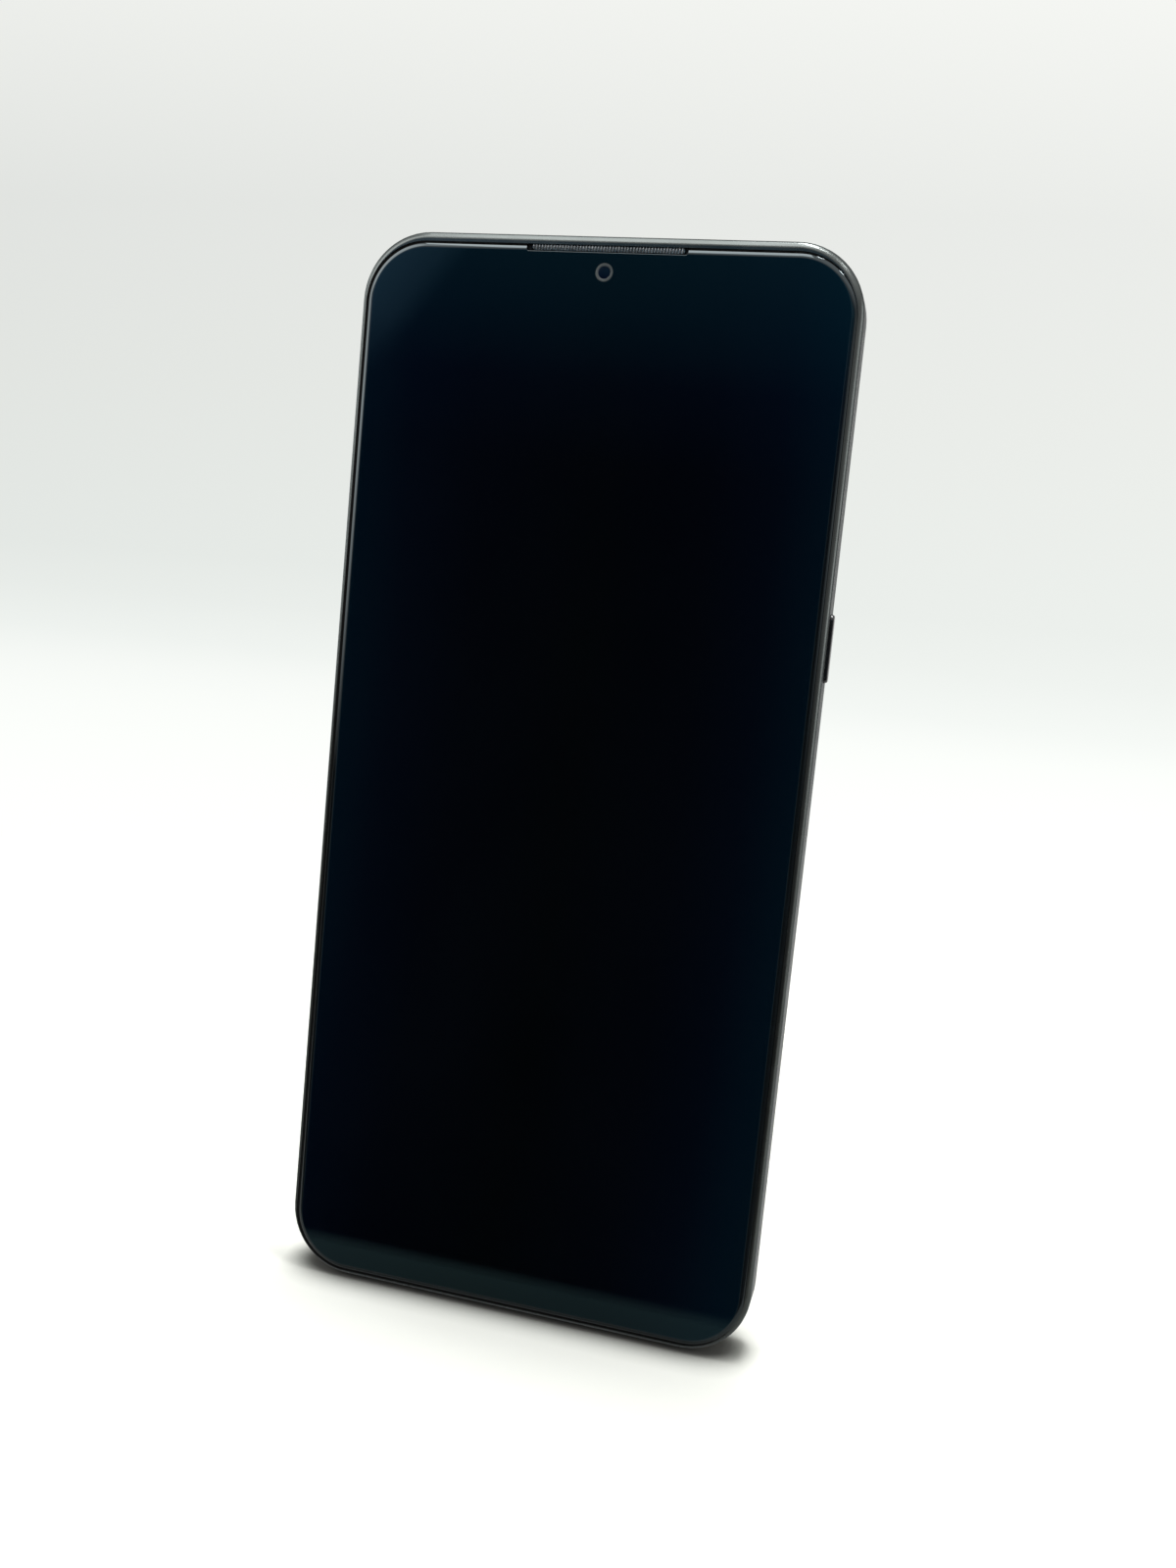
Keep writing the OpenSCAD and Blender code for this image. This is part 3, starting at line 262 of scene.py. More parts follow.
def mixOf(tree, amount, first, second):
    mix = tree.nodes.new("ShaderNodeMixShader")
    for socket, value in zip(mix.inputs, (amount, first, second)):
        tree.links.new(value, socket)
    return mix.outputs[0]


def addOf(tree, first, second):
    both = tree.nodes.new("ShaderNodeAddShader")
    tree.links.new(first, both.inputs[0])
    tree.links.new(second, both.inputs[1])
    return both.outputs[0]


def bumpOn(tree, shader, height, distance, strength=0.3):
    bump = tree.nodes.new("ShaderNodeBump")
    bump.inputs["Strength"].default_value = strength
    bump.inputs["Distance"].default_value = distance
    tree.links.new(height, bump.inputs["Height"])
    tree.links.new(bump.outputs["Normal"], shader.inputs["Normal"])


# how much finer the cloud of wear is than the cloud of tone
wearFiner = 2.3


def grainedFinish(name, tone, toneTo, rough, roughTo, metallic=0.0, toneScale=60.0, grainScale=1500.0,
                  grain=0.000004, stretch=(1, 1, 1), **sockets):
    # two tones in soft clouds, roughness that follows a second cloud, and a fine surface grain
    finish, tree, shader, place = newFinish(name)
    cloud = noiseOn(tree, place, toneScale, 4)
    tree.links.new(rampOf(tree, cloud, [(0.35, tone), (0.65, toneTo)]), shader.inputs["Base Color"])
    wear = noiseOn(tree, place, toneScale * wearFiner, 5, stretch)
    tree.links.new(rangeOf(tree, wear, rough, roughTo), shader.inputs["Roughness"])
    bumpOn(tree, shader, noiseOn(tree, place, grainScale, 2, stretch), grain)
    shader.inputs["Metallic"].default_value = metallic
    for socket, value in sockets.items():
        shader.inputs[socket].default_value = value
    return finish


dressed = set()


def dress(finish, *names):
    for name in names:
        slots = node[name].data.materials
        if not len(slots):
            slots.append(finish)
        for i in range(len(slots)):
            slots[i] = finish
        dressed.add(name)


# screen glass, black behind and clear on top
glassTone = dict(deep=(0.0006, 0.0010, 0.0016), deepTo=(0.0010, 0.0016, 0.0024), gloss=0.015, smear=0.045,
                 smearScale=55, smearStretch=(1, 1, 0.6), level=0.5, mirror=(0.45, 0.9, 1.0, 1))
# a copy of the glass finish with stronger, more neutral reflection for the rim: a painted highlight
rimHighlightTone = dict(glassTone, level=0.84, mirror=(0.80, 0.95, 1.0, 1))


def blackGlassFinish(name, s):
    finish, tree, shader, place = newFinish(name)
    smear = noiseOn(tree, place, s["smearScale"], 6, s["smearStretch"])
    tree.links.new(rangeOf(tree, smear, s["gloss"], s["smear"], 0.5, 0.85), shader.inputs["Roughness"])
    tree.links.new(rampOf(tree, smear, [(0.3, s["deep"]), (0.7, s["deepTo"])]), shader.inputs["Base Color"])
    shader.inputs["Specular IOR Level"].default_value = s["level"]
    shader.inputs["Specular Tint"].default_value = s["mirror"]
    return finish


def clearGlassFinish(name, tint, level):
    finish, tree, shader, place = newFinish(name)
    smear = noiseOn(tree, place, 90, 5)
    deeper = tuple(c * 0.96 for c in tint)
    tree.links.new(rampOf(tree, smear, [(0.3, tint), (0.7, deeper)]), shader.inputs["Base Color"])
    tree.links.new(rangeOf(tree, smear, 0.0, 0.02, 0.5, 0.9), shader.inputs["Roughness"])
    shader.inputs["Transmission Weight"].default_value = 1.0
    shader.inputs["Specular IOR Level"].default_value = level
    return finish


dress(clearGlassFinish("clearFront", (0.62, 0.74, 0.78), 0.15), "front_glass")
dress(clearGlassFinish("clearIsland", (0.70, 0.72, 0.74), 0.4), "camera_cover_glass")
dress(grainedFinish("offScreen", (0.0012, 0.0022, 0.0040), (0.0018, 0.0032, 0.0055), 0.10, 0.16,
                    toneScale=30, grainScale=9000, grain=0.000001, **{"Specular IOR Level": 0.0}),
      "display_panel")

# the outside of the body
frameTone = {"tone": (0.084, 0.092, 0.089), "toneTo": (0.099, 0.108, 0.105), "rough": 0.23, "roughTo": 0.30,
             "metallic": 1.0, "toneScale": 90, "grainScale": 2600, "grain": 0.000002,
             "Specular Tint": (0.45, 0.46, 0.47, 1)}
dress(grainedFinish("satinFrame", **frameTone), "side_band")
dress(grainedFinish("shadowChassis", (0.010, 0.010, 0.011), (0.016, 0.016, 0.018), 0.4, 0.55), "chassis")
dress(grainedFinish("softBack", (0.018, 0.020, 0.023), (0.024, 0.026, 0.030), 0.30, 0.42, 0.0, 40, 3800,
                    0.000005), "back_cover")
dress(grainedFinish("bezelSatin", (0.040, 0.041, 0.043), (0.052, 0.053, 0.056), 0.22, 0.3, 0.7, 120, 3000,
                    0.000003), "camera_bezel")
dress(grainedFinish("keyBlack", (0.005, 0.005, 0.006), (0.009, 0.009, 0.010), 0.20, 0.30, 0.0, 200, 4200,
                    0.000003), "power_key", "volume_up_key", "volume_down_key")
dress(grainedFinish("traySatin", **frameTone), "sim_tray")
grilleTone = {"tone": (0.48, 0.49, 0.49), "toneTo": (0.64, 0.65, 0.65), "rough": 0.22, "roughTo": 0.34,
              "metallic": 0.95, "toneScale": 300, "grainScale": 5000, "grain": 0.000003}
dress(grainedFinish("meshSteel", **grilleTone), "earpiece_mesh")
ringTone = {"tone": (0.062, 0.072, 0.075), "toneTo": (0.088, 0.098, 0.100), "rough": 0.35, "roughTo": 0.5,
            "metallic": 0.2, "toneScale": 400, "grainScale": 5000, "grain": 0.000002}
windowTones = [(0.3, (0.002, 0.003, 0.012)), (0.7, (0.002, 0.006, 0.014))]
dress(grainedFinish("ringUnder", **ringTone), "front_camera_ring")
dress(grainedFinish("foamBlack", (0.006, 0.006, 0.006), (0.014, 0.014, 0.014), 0.8, 0.95, 0.0, 500, 6000,
                    0.00002), "display_gasket")
dress(grainedFinish("cameraBlack", (0.006, 0.006, 0.007), (0.012, 0.012, 0.013), 0.35, 0.5, 0.0, 200, 5000,
                    0.000003), "front_camera", "main_camera_housing", "wide_camera", "closeup_camera")


# coated lens glass, violet and green in broad patches
def lensFinish(name, tones, level, coat=1.0):
    finish, tree, shader, place = newFinish(name)
    cloud = noiseOn(tree, place, 260, 2)
    tree.links.new(rampOf(tree, cloud, tones), shader.inputs["Base Color"])
    tree.links.new(rangeOf(tree, cloud, 0.02, 0.06), shader.inputs["Roughness"])
    shader.inputs["Coat Weight"].default_value = coat
    shader.inputs["Coat Roughness"].default_value = 0.01
    shader.inputs["Specular IOR Level"].default_value = level
    return finish


dress(lensFinish("coatedLens", [(0.3, (0.010, 0.006, 0.030)), (0.7, (0.004, 0.016, 0.020))], 0.8),
      "main_camera_lens")
flashTone = dict(tone=(0.86, 0.84, 0.68), toneTo=(0.92, 0.90, 0.78), rough=0.22, roughTo=0.34)
dress(grainedFinish("flashFrost", **flashTone, toneScale=900, grainScale=2500, grain=0.00004), "flash_lens")
dress(grainedFinish("phosphor", (0.90, 0.66, 0.12), (0.96, 0.78, 0.22), 0.5, 0.65, 0.0, 900), "flash_led")

# inside the body
dress(grainedFinish("graphiteSheet", (0.05, 0.05, 0.055), (0.09, 0.09, 0.095), 0.35, 0.5, 0.3, 200, 3000,
                    0.000006, (1, 1, 6)), "heat_spreader")
dress(grainedFinish("amberFlex", (0.30, 0.115, 0.022), (0.40, 0.165, 0.035), 0.24, 0.36, 0.0, 500),
      "display_flex", "main_flex", "key_flex", "battery_lead")
dress(grainedFinish("tinShield", (0.56, 0.57, 0.58), (0.66, 0.67, 0.68), 0.26, 0.4, 1.0, 300, 3500,
                    0.000004, (1, 1, 8)), "processor_shield", "radio_shield")
dress(grainedFinish("shroudBlack", (0.022, 0.022, 0.024), (0.034, 0.034, 0.037), 0.5, 0.65, 0.0, 150, 3000,
                    0.00001), "upper_shroud", "lower_shroud", "loudspeaker_box")
dress(grainedFinish("copperFoil", (0.62, 0.28, 0.12), (0.72, 0.36, 0.17), 0.3, 0.45, 1.0, 300, 3000,
                    0.000005), "near_field_antenna")
dress(grainedFinish("zincScrew", (0.50, 0.50, 0.49), (0.62, 0.62, 0.61), 0.25, 0.38, 1.0, 700, 6000,
                    0.000004), "cover_screws", "motor_shaft")
dress(grainedFinish("pouchFoil", (0.075, 0.080, 0.085), (0.115, 0.120, 0.126), 0.4, 0.55, 0.4, 70, 900,
                    0.00002), "battery")
dress(grainedFinish("yellowTape", (0.46, 0.32, 0.045), (0.58, 0.42, 0.07), 0.3, 0.42, 0.0, 400),
      "battery_circuit")
dress(grainedFinish("whiteTape", (0.64, 0.64, 0.60), (0.74, 0.74, 0.70), 0.55, 0.7, 0.0, 300),
      "battery_adhesive")
dress(grainedFinish("goldSpring", (0.68, 0.50, 0.18), (0.80, 0.62, 0.26), 0.2, 0.32, 1.0, 800),
      "jack_springs", "usb_tongue", "board_connectors")
dress(grainedFinish("drawnSteel", (0.42, 0.42, 0.43), (0.54, 0.54, 0.55), 0.24, 0.38, 1.0, 400, 4000,
                    0.000004, (6, 1, 1)), "usb_shell", "headphone_jack", "microphones", "key_switches",
      "motor_case", "sim_reader", "sim_ejector", "earpiece_receiver", "motor_weight")
dress(grainedFinish("magnetNickel", (0.40, 0.41, 0.43), (0.50, 0.51, 0.53), 0.3, 0.45, 1.0, 300),
      "loudspeaker_magnet")
dress(grainedFinish("conePaper", (0.03, 0.03, 0.03), (0.05, 0.05, 0.05), 0.6, 0.8, 0.0, 500, 2000,
                    0.00002), "loudspeaker_cone")
dress(grainedFinish("chipResin", (0.016, 0.016, 0.017), (0.026, 0.026, 0.028), 0.45, 0.6, 0.0, 600),
      "main_chips")
dress(grainedFinish("maskGreen", (0.010, 0.070, 0.035), (0.016, 0.100, 0.050), 0.28, 0.4, 0.0, 700),
      "main_board", "sub_board")
dress(grainedFinish("cardPlastic", (0.74, 0.74, 0.71), (0.82, 0.82, 0.79), 0.35, 0.5, 0.0, 200), "sim_card")
print("finishes on", len(dressed), "nodes; bare:", sorted(set(node) - dressed))


# front glass: one sheet with a slot notch, a rolled rim and a hole for the camera
# margins: how far its edge lies inside the body's outline at the left, right, foot and head
# roll: how far in and how far forward each ring of the rim steps
# flatFrom: a face whose normal's y lies below this belongs to the flat front
frontGlass = dict(margins=(1.10, 0.80, 1.00, 1.71), corner=9.0, cornerSteps=32,
                  roll=((0.02, 0.15), (0.04, 0.10), (0.06, 0.07), (0.10, 0.08), (0.16, 0.09), (0.18, 0.07),
                        (0.16, 0.035), (0.15, 0.012)), flatFrom=-0.997,
                  slotHalf=12.2, slotFloor=162.90, slotEase=0.4, slotRim=0.09, holeRadius=1.34)


def buildFrontGlass(s):
    low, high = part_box("front_glass")
    front = low.y
    sheet = roundedSheet("frontGlass", s["margins"], s["corner"], front, high.y, s["cornerSteps"])
    # the rolled rim: the front face is pushed in, then steps out again in ever flatter rings
    pickFaces(sheet, lambda c, n: n.y < -0.9 and c.y < front + near)
    bpy.ops.transform.translate(value=(0, mm(sum(rise for step, rise in s["roll"])), 0))
    stepIn(s["roll"])
    closeUp(sheet, 60)
    # the slot notch, with a small polished edge
    half, floor, ease = mm(s["slotHalf"]), mm(s["slotFloor"]), mm(s["slotEase"])
    block = slab("notch", (-half, front - past, floor), (half, high.y + past, high.z + 2 * past))
    openUp(block)
    pickEdges(block, lambda a, b: abs(a.x - b.x) < near and abs(a.z - b.z) < near and a.z < high.z)
    bpy.ops.mesh.bevel(offset=ease, segments=5)
    closeUp(block, 40)
    boreOut(sheet, block)
    openUp(sheet)
    pickEdges(sheet, lambda a, b: max(a.y, b.y) < front + near and max(abs(a.x), abs(b.x)) < half + near
              and min(a.z, b.z) > floor - near and max(a.z, b.z) < floor + ease)
    bpy.ops.mesh.bevel(offset=mm(s["slotRim"]), segments=3, clamp_overlap=False)
    closeUp(sheet, 60)
    ringLow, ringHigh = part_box("front_camera_ring")
    middle = (ringLow + ringHigh) / 2
    drill(sheet, mm(s["holeRadius"]), middle.x, middle.z, front, high.y, 72)
    evenNormals(sheet)
    return sheet, middle, front


# a turned ring in the glass's hole and a domed window inside it, placed by depth behind the glass
cameraEye = dict(ringRadius=1.33, ringInside=0.93, ringFront=0.03, ringBack=0.60, ringDeep=0.16,
                 ringEase=0.05, windowGap=0.02, windowFront=0.10, windowBack=0.19,
                 dome=((0.16, 0.009), (0.16, 0.007), (0.16, 0.005), (0.16, 0.003)))


def buildCameraRing(s, middle, front):
    crest = front + mm(s["ringFront"])
    ring = rod("cameraRing", mm(s["ringRadius"]), (middle.x, crest, middle.z),
               (middle.x, front + mm(s["ringBack"]), middle.z), "Y", 72)
    openUp(ring)
    pickFront(ring)
    stepIn([(s["ringRadius"] - s["ringInside"], 0), (0, -s["ringDeep"])])
    pickEdges(ring, lambda a, b: max(a.y, b.y) < crest + near)
    bpy.ops.mesh.bevel(offset=mm(s["ringEase"]), segments=3, clamp_overlap=False)
    closeUp(ring, 40)
    evenNormals(ring)
    return ring


def buildCameraWindow(s, middle, front):
    window = rod("cameraWindow", mm(s["ringInside"] - s["windowGap"]),
                 (middle.x, front + mm(s["windowFront"]), middle.z),
                 (middle.x, front + mm(s["windowBack"]), middle.z), "Y", 64)
    openUp(window)
    pickFront(window)
    stepIn(s["dome"])
    closeUp(window, 60)
    return window


frontSheet, cameraSpot, frontPlane = buildFrontGlass(frontGlass)
cameraRing = buildCameraRing(cameraEye, cameraSpot, frontPlane)
cameraWindow = buildCameraWindow(cameraEye, cameraSpot, frontPlane)
frontSheet.data.materials.append(blackGlassFinish("blackGlass", glassTone))
frontSheet.data.materials.append(blackGlassFinish("paintedRimHighlight", rimHighlightTone))
for face in frontSheet.data.polygons:
    # the rolled rim and the slot's edge get a copy of the glass finish that reflects more strongly, a painted
    # highlight; the flat face does not
    if face.normal.y > frontGlass["flatFrom"]:
        face.material_index = 1
cameraRing.data.materials.append(grainedFinish("ringPaint", **ringTone))
cameraWindow.data.materials.append(lensFinish("windowLens", windowTones, 0.3, 0.0))
for piece, slotName in ((frontSheet, "screen_glass"), (cameraRing, "ring"), (cameraWindow, "lens")):
    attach(piece, "phone")
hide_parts("front_glass")
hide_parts("front_camera_ring")
print("front glass, camera ring and window made")


# rounded lip round the glass, over the band and the slot; crest and foot lie behind the body's front
lipBead = dict(outer=0.30, bodyCorner=10.3, inner=(0.84, 0.84, 0.80, 1.55), innerCorner=9.2, crest=0.19,
               foot=1.15, outerRound=0.90, innerRound=0.05, innerReach=0.012, steps=9, cornerSteps=32)


def buildLipBead(s):
    crest, foot = bodyFront + mm(s["crest"]), bodyFront + mm(s["foot"])
    bead = roundedSheet("lipBead", (s["outer"],) * 4, s["bodyCorner"] - s["outer"], crest, foot,
                        s["cornerSteps"])
    pickEdges(bead, lambda a, b: max(a.y, b.y) < crest + near)
    bpy.ops.mesh.bevel(offset=mm(s["outerRound"]), segments=s["steps"], clamp_overlap=False)
    closeUp(bead, 60)
    plug = roundedSheet("plug", s["inner"], s["innerCorner"], crest - past, foot + past, s["cornerSteps"])
    closeUp(plug, 60)
    boreOut(bead, plug)

    def onInnerEdge(v):
        return abs(insetOf(v, s["inner"], s["innerCorner"])) < mm(s["innerReach"]) and v.y < crest + mm(0.5)

    openUp(bead)
    pickEdges(bead, lambda a, b: onInnerEdge(a) and onInnerEdge(b) and abs(a.y - b.y) < mm(0.1))
    bpy.ops.mesh.bevel(offset=mm(s["innerRound"]), segments=3, clamp_overlap=True)
    closeUp(bead, 60)
    evenNormals(bead)
    return bead


# black foam seen in the gap between lip and glass, notched for the slot
gapFoam = dict(outer=(0.81, 0.98, 0.77, 1.51), outerCorner=9.2, inner=(1.9, 1.9, 1.9, 2.6), innerCorner=8.2,
               front=-4.588, back=-4.30, cornerSteps=24)


def buildGapFoam(s):
    front, back, steps = mm(s["front"]), mm(s["back"]), s["cornerSteps"]
    foam = roundedSheet("gapFoam", s["outer"], s["outerCorner"], front, back, steps)
    closeUp(foam, 60)
    plug = roundedSheet("plug", s["inner"], s["innerCorner"], front - past, back + past, steps)
    closeUp(plug, 60)
    boreOut(foam, plug)
    half, floor = mm(frontGlass["slotHalf"]), mm(frontGlass["slotFloor"]) - past
    boreOut(foam, slab("notch", (-half, front - past, floor), (half, back + past, floor + 3 * past)))
    return foam


# earpiece grille: round bars over a dark plate
grille = dict(pitch=0.45, radius=0.145, sides=10, back=0.95, crown=0.62, plateGap=0.05, plateEase=0.3,
              endGap=0.25, barGap=0.02, barEase=0.03)


def buildGrille(s):
    low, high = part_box("earpiece_mesh")
    plate = slab("earpieceGrille", (low.x, bodyFront + mm(s["crown"] + s["radius"] + s["plateGap"]), low.z),
                 (high.x, bodyFront + mm(s["back"]), high.z))
    openUp(plate)
    pickEdges(plate, lambda a, b: abs(a.y - b.y) > near)
    bpy.ops.mesh.bevel(offset=mm(s["plateEase"]), segments=4)
    closeUp(plate, 40)
    x, y, gap = low.x + mm(s["endGap"]), bodyFront + mm(s["crown"]), mm(s["barGap"])
    bar = rod("bar", mm(s["radius"]), (x, y, low.z + gap), (x, y, high.z - gap), "Z", s["sides"])
    openUp(bar)
    pickEdges(bar, lambda a, b: abs(a.z - b.z) < near)
    bpy.ops.mesh.bevel(offset=mm(s["barEase"]), segments=1)
    closeUp(bar, 50)
    span = high.x - low.x - 2 * mm(s["endGap"])
    count = int(span / mm(s["pitch"]))
    step = span / count
    bars = [bar]
    for i in range(1, count + 1):
        twin = bar.copy()
        twin.data = bar.data.copy()
        bpy.context.collection.objects.link(twin)
        twin.data.transform(Matrix.Translation((i * step, 0, 0)))
        bars.append(twin)
    return joinUp(plate, *bars)


bead = buildLipBead(lipBead)
bead.data.materials.append(grainedFinish("beadSatin", **frameTone))
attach(bead, "phone")
gapLine = buildGapFoam(gapFoam)
gapTone = {"tone": (0.0015, 0.0015, 0.0015), "toneTo": (0.003, 0.003, 0.003), "rough": 0.7, "roughTo": 0.9,
           "toneScale": 500, "grainScale": 6000, "grain": 0.00001, "Specular IOR Level": 0.1}
gapLine.data.materials.append(grainedFinish("gapBlack", **gapTone))
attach(gapLine, "phone")
earGrille = buildGrille(grille)
earGrille.data.materials.append(grainedFinish("grilleSteel", **grilleTone))
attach(earGrille, "phone")
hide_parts("earpiece_mesh")
print("lip bead and earpiece grille made:", len(bead.data.polygons), len(earGrille.data.polygons))


# side keys: a pill with a soft crown on the flange that keeps it in, and a nub behind
sideKey = dict(rim=0.40, endFlat=0.02, crown=0.34, crownSteps=6, endSteps=14, flange=0.40, flangeEase=0.5,
               nub=0.40, nubRadius=0.6, nubEase=0.12)


def buildKey(name, nodeName, s):
    low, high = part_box(nodeName)
    side = 1 if high.x > 0 else -1
    root, crest = (low.x, high.x) if side > 0 else (high.x, low.x)
    flangeIn = root + side * mm(s["nub"])
    flangeOut = flangeIn + side * mm(s["flange"])
    rim = mm(s["rim"])
    thick = high.y - low.y - 2 * rim
    key = slab(name, (min(flangeIn, crest), low.y + rim, low.z + rim),
               (max(flangeIn, crest), high.y - rim, high.z - rim))
    openUp(key)
    pickEdges(key, lambda a, b: abs(a.x - b.x) > mm(0.5))
    bpy.ops.mesh.bevel(offset=thick / 2 - mm(s["endFlat"]), segments=s["endSteps"], clamp_overlap=False)
    pickEdges(key, lambda a, b: abs(a.x - crest) < near and abs(b.x - crest) < near)
    bpy.ops.mesh.bevel(offset=mm(s["crown"]), segments=s["crownSteps"], clamp_overlap=False)
    closeUp(key, 50)
    flange = slab(name + "Flange", (min(flangeIn, flangeOut), low.y, low.z),
                  (max(flangeIn, flangeOut), high.y, high.z))
    openUp(flange)
    pickEdges(flange, lambda a, b: abs(a.x - b.x) > mm(0.1))
    bpy.ops.mesh.bevel(offset=mm(s["flangeEase"]), segments=4)
    closeUp(flange, 40)
    midY, midZ, nubTip = (low.y + high.y) / 2, (low.z + high.z) / 2, flangeIn + side * near
    nub = rod(name + "Nub", mm(s["nubRadius"]), (min(root, nubTip), midY, midZ),
              (max(root, nubTip), midY, midZ), "X", 24)
    openUp(nub)
    pickEdges(nub, lambda a, b: abs(a.x - root) < near and abs(b.x - root) < near)
    bpy.ops.mesh.bevel(offset=mm(s["nubEase"]), segments=3)
    closeUp(nub, 40)
    key = joinUp(key, flange, nub)
    evenNormals(key)
    return key


keyGloss = grainedFinish("keyGloss", (0.004, 0.004, 0.005), (0.007, 0.007, 0.008), 0.10, 0.16, 0.0, 200, 4200,
                         0.000002)
for keyName, nodeName in (("powerKey", "power_key"), ("volumeUpKey", "volume_up_key"),
                          ("volumeDownKey", "volume_down_key")):
    piece = buildKey(keyName, nodeName, sideKey)
    piece.data.materials.append(keyGloss)
    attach(piece, nodeName)
    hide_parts(nodeName)
print("three keys made")


# camera island: a dark glass plate with turned rings, stepped wells and coated domes
# name: place of its spot, opening radius, dome radius, dome top, body
lensSpots = dict(main=("main_camera_lens", 3.30, 2.20, 3.74, "main_lens"),
                 wide=("wide_camera", 3.30, 2.20, 3.74, "phone"),
                 closeup=("closeup_camera", 2.00, 1.28, 3.66, "phone"))
islandGlass = dict(back=4.60, corner=6.25, edge=0.12, ringLap=0.1, flashRadius=2.35)
lensRing = dict(low=4.21, high=4.78, wide=0.62, ease=0.09, steps=[(0.22, 0), (0.03, -0.03), (0.14, -0.26)])
# each of the well's drops is followed by a tread, a share of the room between its lip and the dome
lensWell = dict(low=3.78, high=4.31, fit=0.02, lip=0.06, drops=(0.10, 0.10, 0.08),
                treads=(0.34, 0.33, 0.25), spare=0.16, domeGap=0.06)
# the rise is that of a dome of the full radius
lensDome = dict(low=3.12, rise=0.32, fullRadius=2.2, arc=84, steps=6)
backwards = (0, 1, 0)


def spotOf(nodeName):
    low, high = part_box(nodeName)
    return (low.x + high.x) / 2, (low.z + high.z) / 2


def buildPlate(s):
    low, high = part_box("camera_cover_glass")
    back = mm(s["back"])
    plate = slab("islandGlass", low, (high.x, back, high.z))
    openUp(plate)
    pickEdges(plate, lambda a, b: abs(a.y - b.y) > mm(0.1))
    bpy.ops.mesh.bevel(offset=mm(s["corner"]), segments=20, clamp_overlap=False)
    pickEdges(plate, lambda a, b: min(a.y, b.y) > back - near)
    bpy.ops.mesh.bevel(offset=mm(s["edge"]), segments=4, clamp_overlap=False)
    closeUp(plate, 50)
    for nodeName, opening, *others in lensSpots.values():
        drill(plate, mm(opening + lensRing["wide"] - s["ringLap"]), *spotOf(nodeName), low.y, back, 96)
    drill(plate, mm(s["flashRadius"]), *spotOf("flash_lens"), low.y, back, 72)
    evenNormals(plate)
    return plate


def buildRing(name, spot, opening, s):
    # metal ring: flat crest, polished outer chamfer and a sloped inner wall
    x, z = spot
    low, high = mm(s["low"]), mm(s["high"])
    ring = rod(name, mm(opening + s["wide"]), (x, low, z), (x, high, z), "Y", 96)
    openUp(ring)
    pickEdges(ring, lambda a, b: min(a.y, b.y) > high - near)
    bpy.ops.mesh.bevel(offset=mm(s["ease"]), segments=3)
    pickFaces(ring, lambda c, n: n.y > 0.9 and c.y > high - near)
    stepIn(s["steps"], backwards)
    closeUp(ring, 30)
    drill(ring, mm(opening), x, z, low, high, 96)
    return ring


def buildWell(name, spot, opening, dome, s):
    # black steps that close in on the lens
    x, z = spot
    low, high = mm(s["low"]), mm(s["high"])
    well = rod(name, mm(opening + s["fit"]), (x, low, z), (x, high, z), "Y", 72)
    openUp(well)
    pickBack(well)
    room = opening - dome - s["spare"]
    steps = [(s["lip"], 0)]
    for drop, tread in zip(s["drops"], s["treads"]):
        steps += [(0, -drop), (room * tread, 0)]
    stepIn(steps, backwards)
    closeUp(well, 30)
    drill(well, mm(dome + s["domeGap"]), x, z, low, high, 72)
    return well


def buildDome(name, spot, radius, top, s):
    x, z = spot
    rise, steps = s["rise"] * radius / s["fullRadius"], s["steps"]
    dome = rod(name, mm(radius), (x, mm(s["low"]), z), (x, mm(top - rise), z), "Y", 64)
    openUp(dome)
    pickBack(dome)
    turns = [math.radians(s["arc"] * i / steps) for i in range(steps + 1)]
    reach = [radius * math.cos(turn) for turn in turns]
    height = [rise * math.sin(turn) for turn in turns]
    stepIn([(reach[i] - reach[i + 1], height[i + 1] - height[i]) for i in range(steps)], backwards)
    closeUp(dome, 40)
    return dome


# the flash's cover: a raised lens with fine rings, as a diffuser has
flashCover = dict(thick=0.38, rise=[(0.82, 0), (0, 1.02), (0.08, 0.06), (0.16, 0)],
                  ripple=[(0.10, -0.05), (0.16, 0.05)], ripples=7)


def buildFlash(s):
    low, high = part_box("flash_lens")
    x, z = spotOf("flash_lens")
    cap = rod("flashCap", (high.x - low.x) / 2, (x, low.y, z), (x, low.y + mm(s["thick"]), z), "Y", 72)
    openUp(cap)
    pickBack(cap)
    stepIn(s["rise"] + s["ripple"] * s["ripples"], backwards)
    closeUp(cap, 25)
    return cap


islandPlate = buildPlate(islandGlass)
islandTone = dict(glassTone, mirror=(0.9, 0.95, 1.0, 1))
islandPlate.data.materials.append(blackGlassFinish("islandBlack", islandTone))
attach(islandPlate, "phone")
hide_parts("camera_cover_glass")
ringMetal = grainedFinish("lensRingMetal", (0.20, 0.21, 0.215), (0.26, 0.27, 0.275), 0.18, 0.28, 1.0,
                          300, 4000, 0.000002)
wellBlack = grainedFinish("wellBlack", (0.004, 0.004, 0.0045), (0.008, 0.008, 0.0085), 0.35, 0.5, 0.0,
                          300, 5000, 0.000003)
domeTones = dict(main=[(0.3, (0.012, 0.005, 0.040)), (0.7, (0.003, 0.020, 0.022))],
                 wide=[(0.3, (0.004, 0.018, 0.028)), (0.7, (0.016, 0.005, 0.030))],
                 closeup=[(0.3, (0.004, 0.012, 0.030)), (0.7, (0.010, 0.004, 0.020))])
for spotName, (nodeName, opening, dome, top, body) in lensSpots.items():
    spot = spotOf(nodeName)
    ring = buildRing(spotName + "Ring", spot, opening, lensRing)
    well = buildWell(spotName + "Well", spot, opening, dome, lensWell)
    lens = buildDome(spotName + "Dome", spot, dome, top, lensDome)
    domeCoat = lensFinish(spotName + "Coat", domeTones[spotName], 0.2, 0.15)
    for piece, finish, rides in ((ring, ringMetal, "phone"), (well, wellBlack, "phone"),
                                 (lens, domeCoat, body)):
        piece.data.materials.append(finish)
        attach(piece, rides)
flashCap = buildFlash(flashCover)
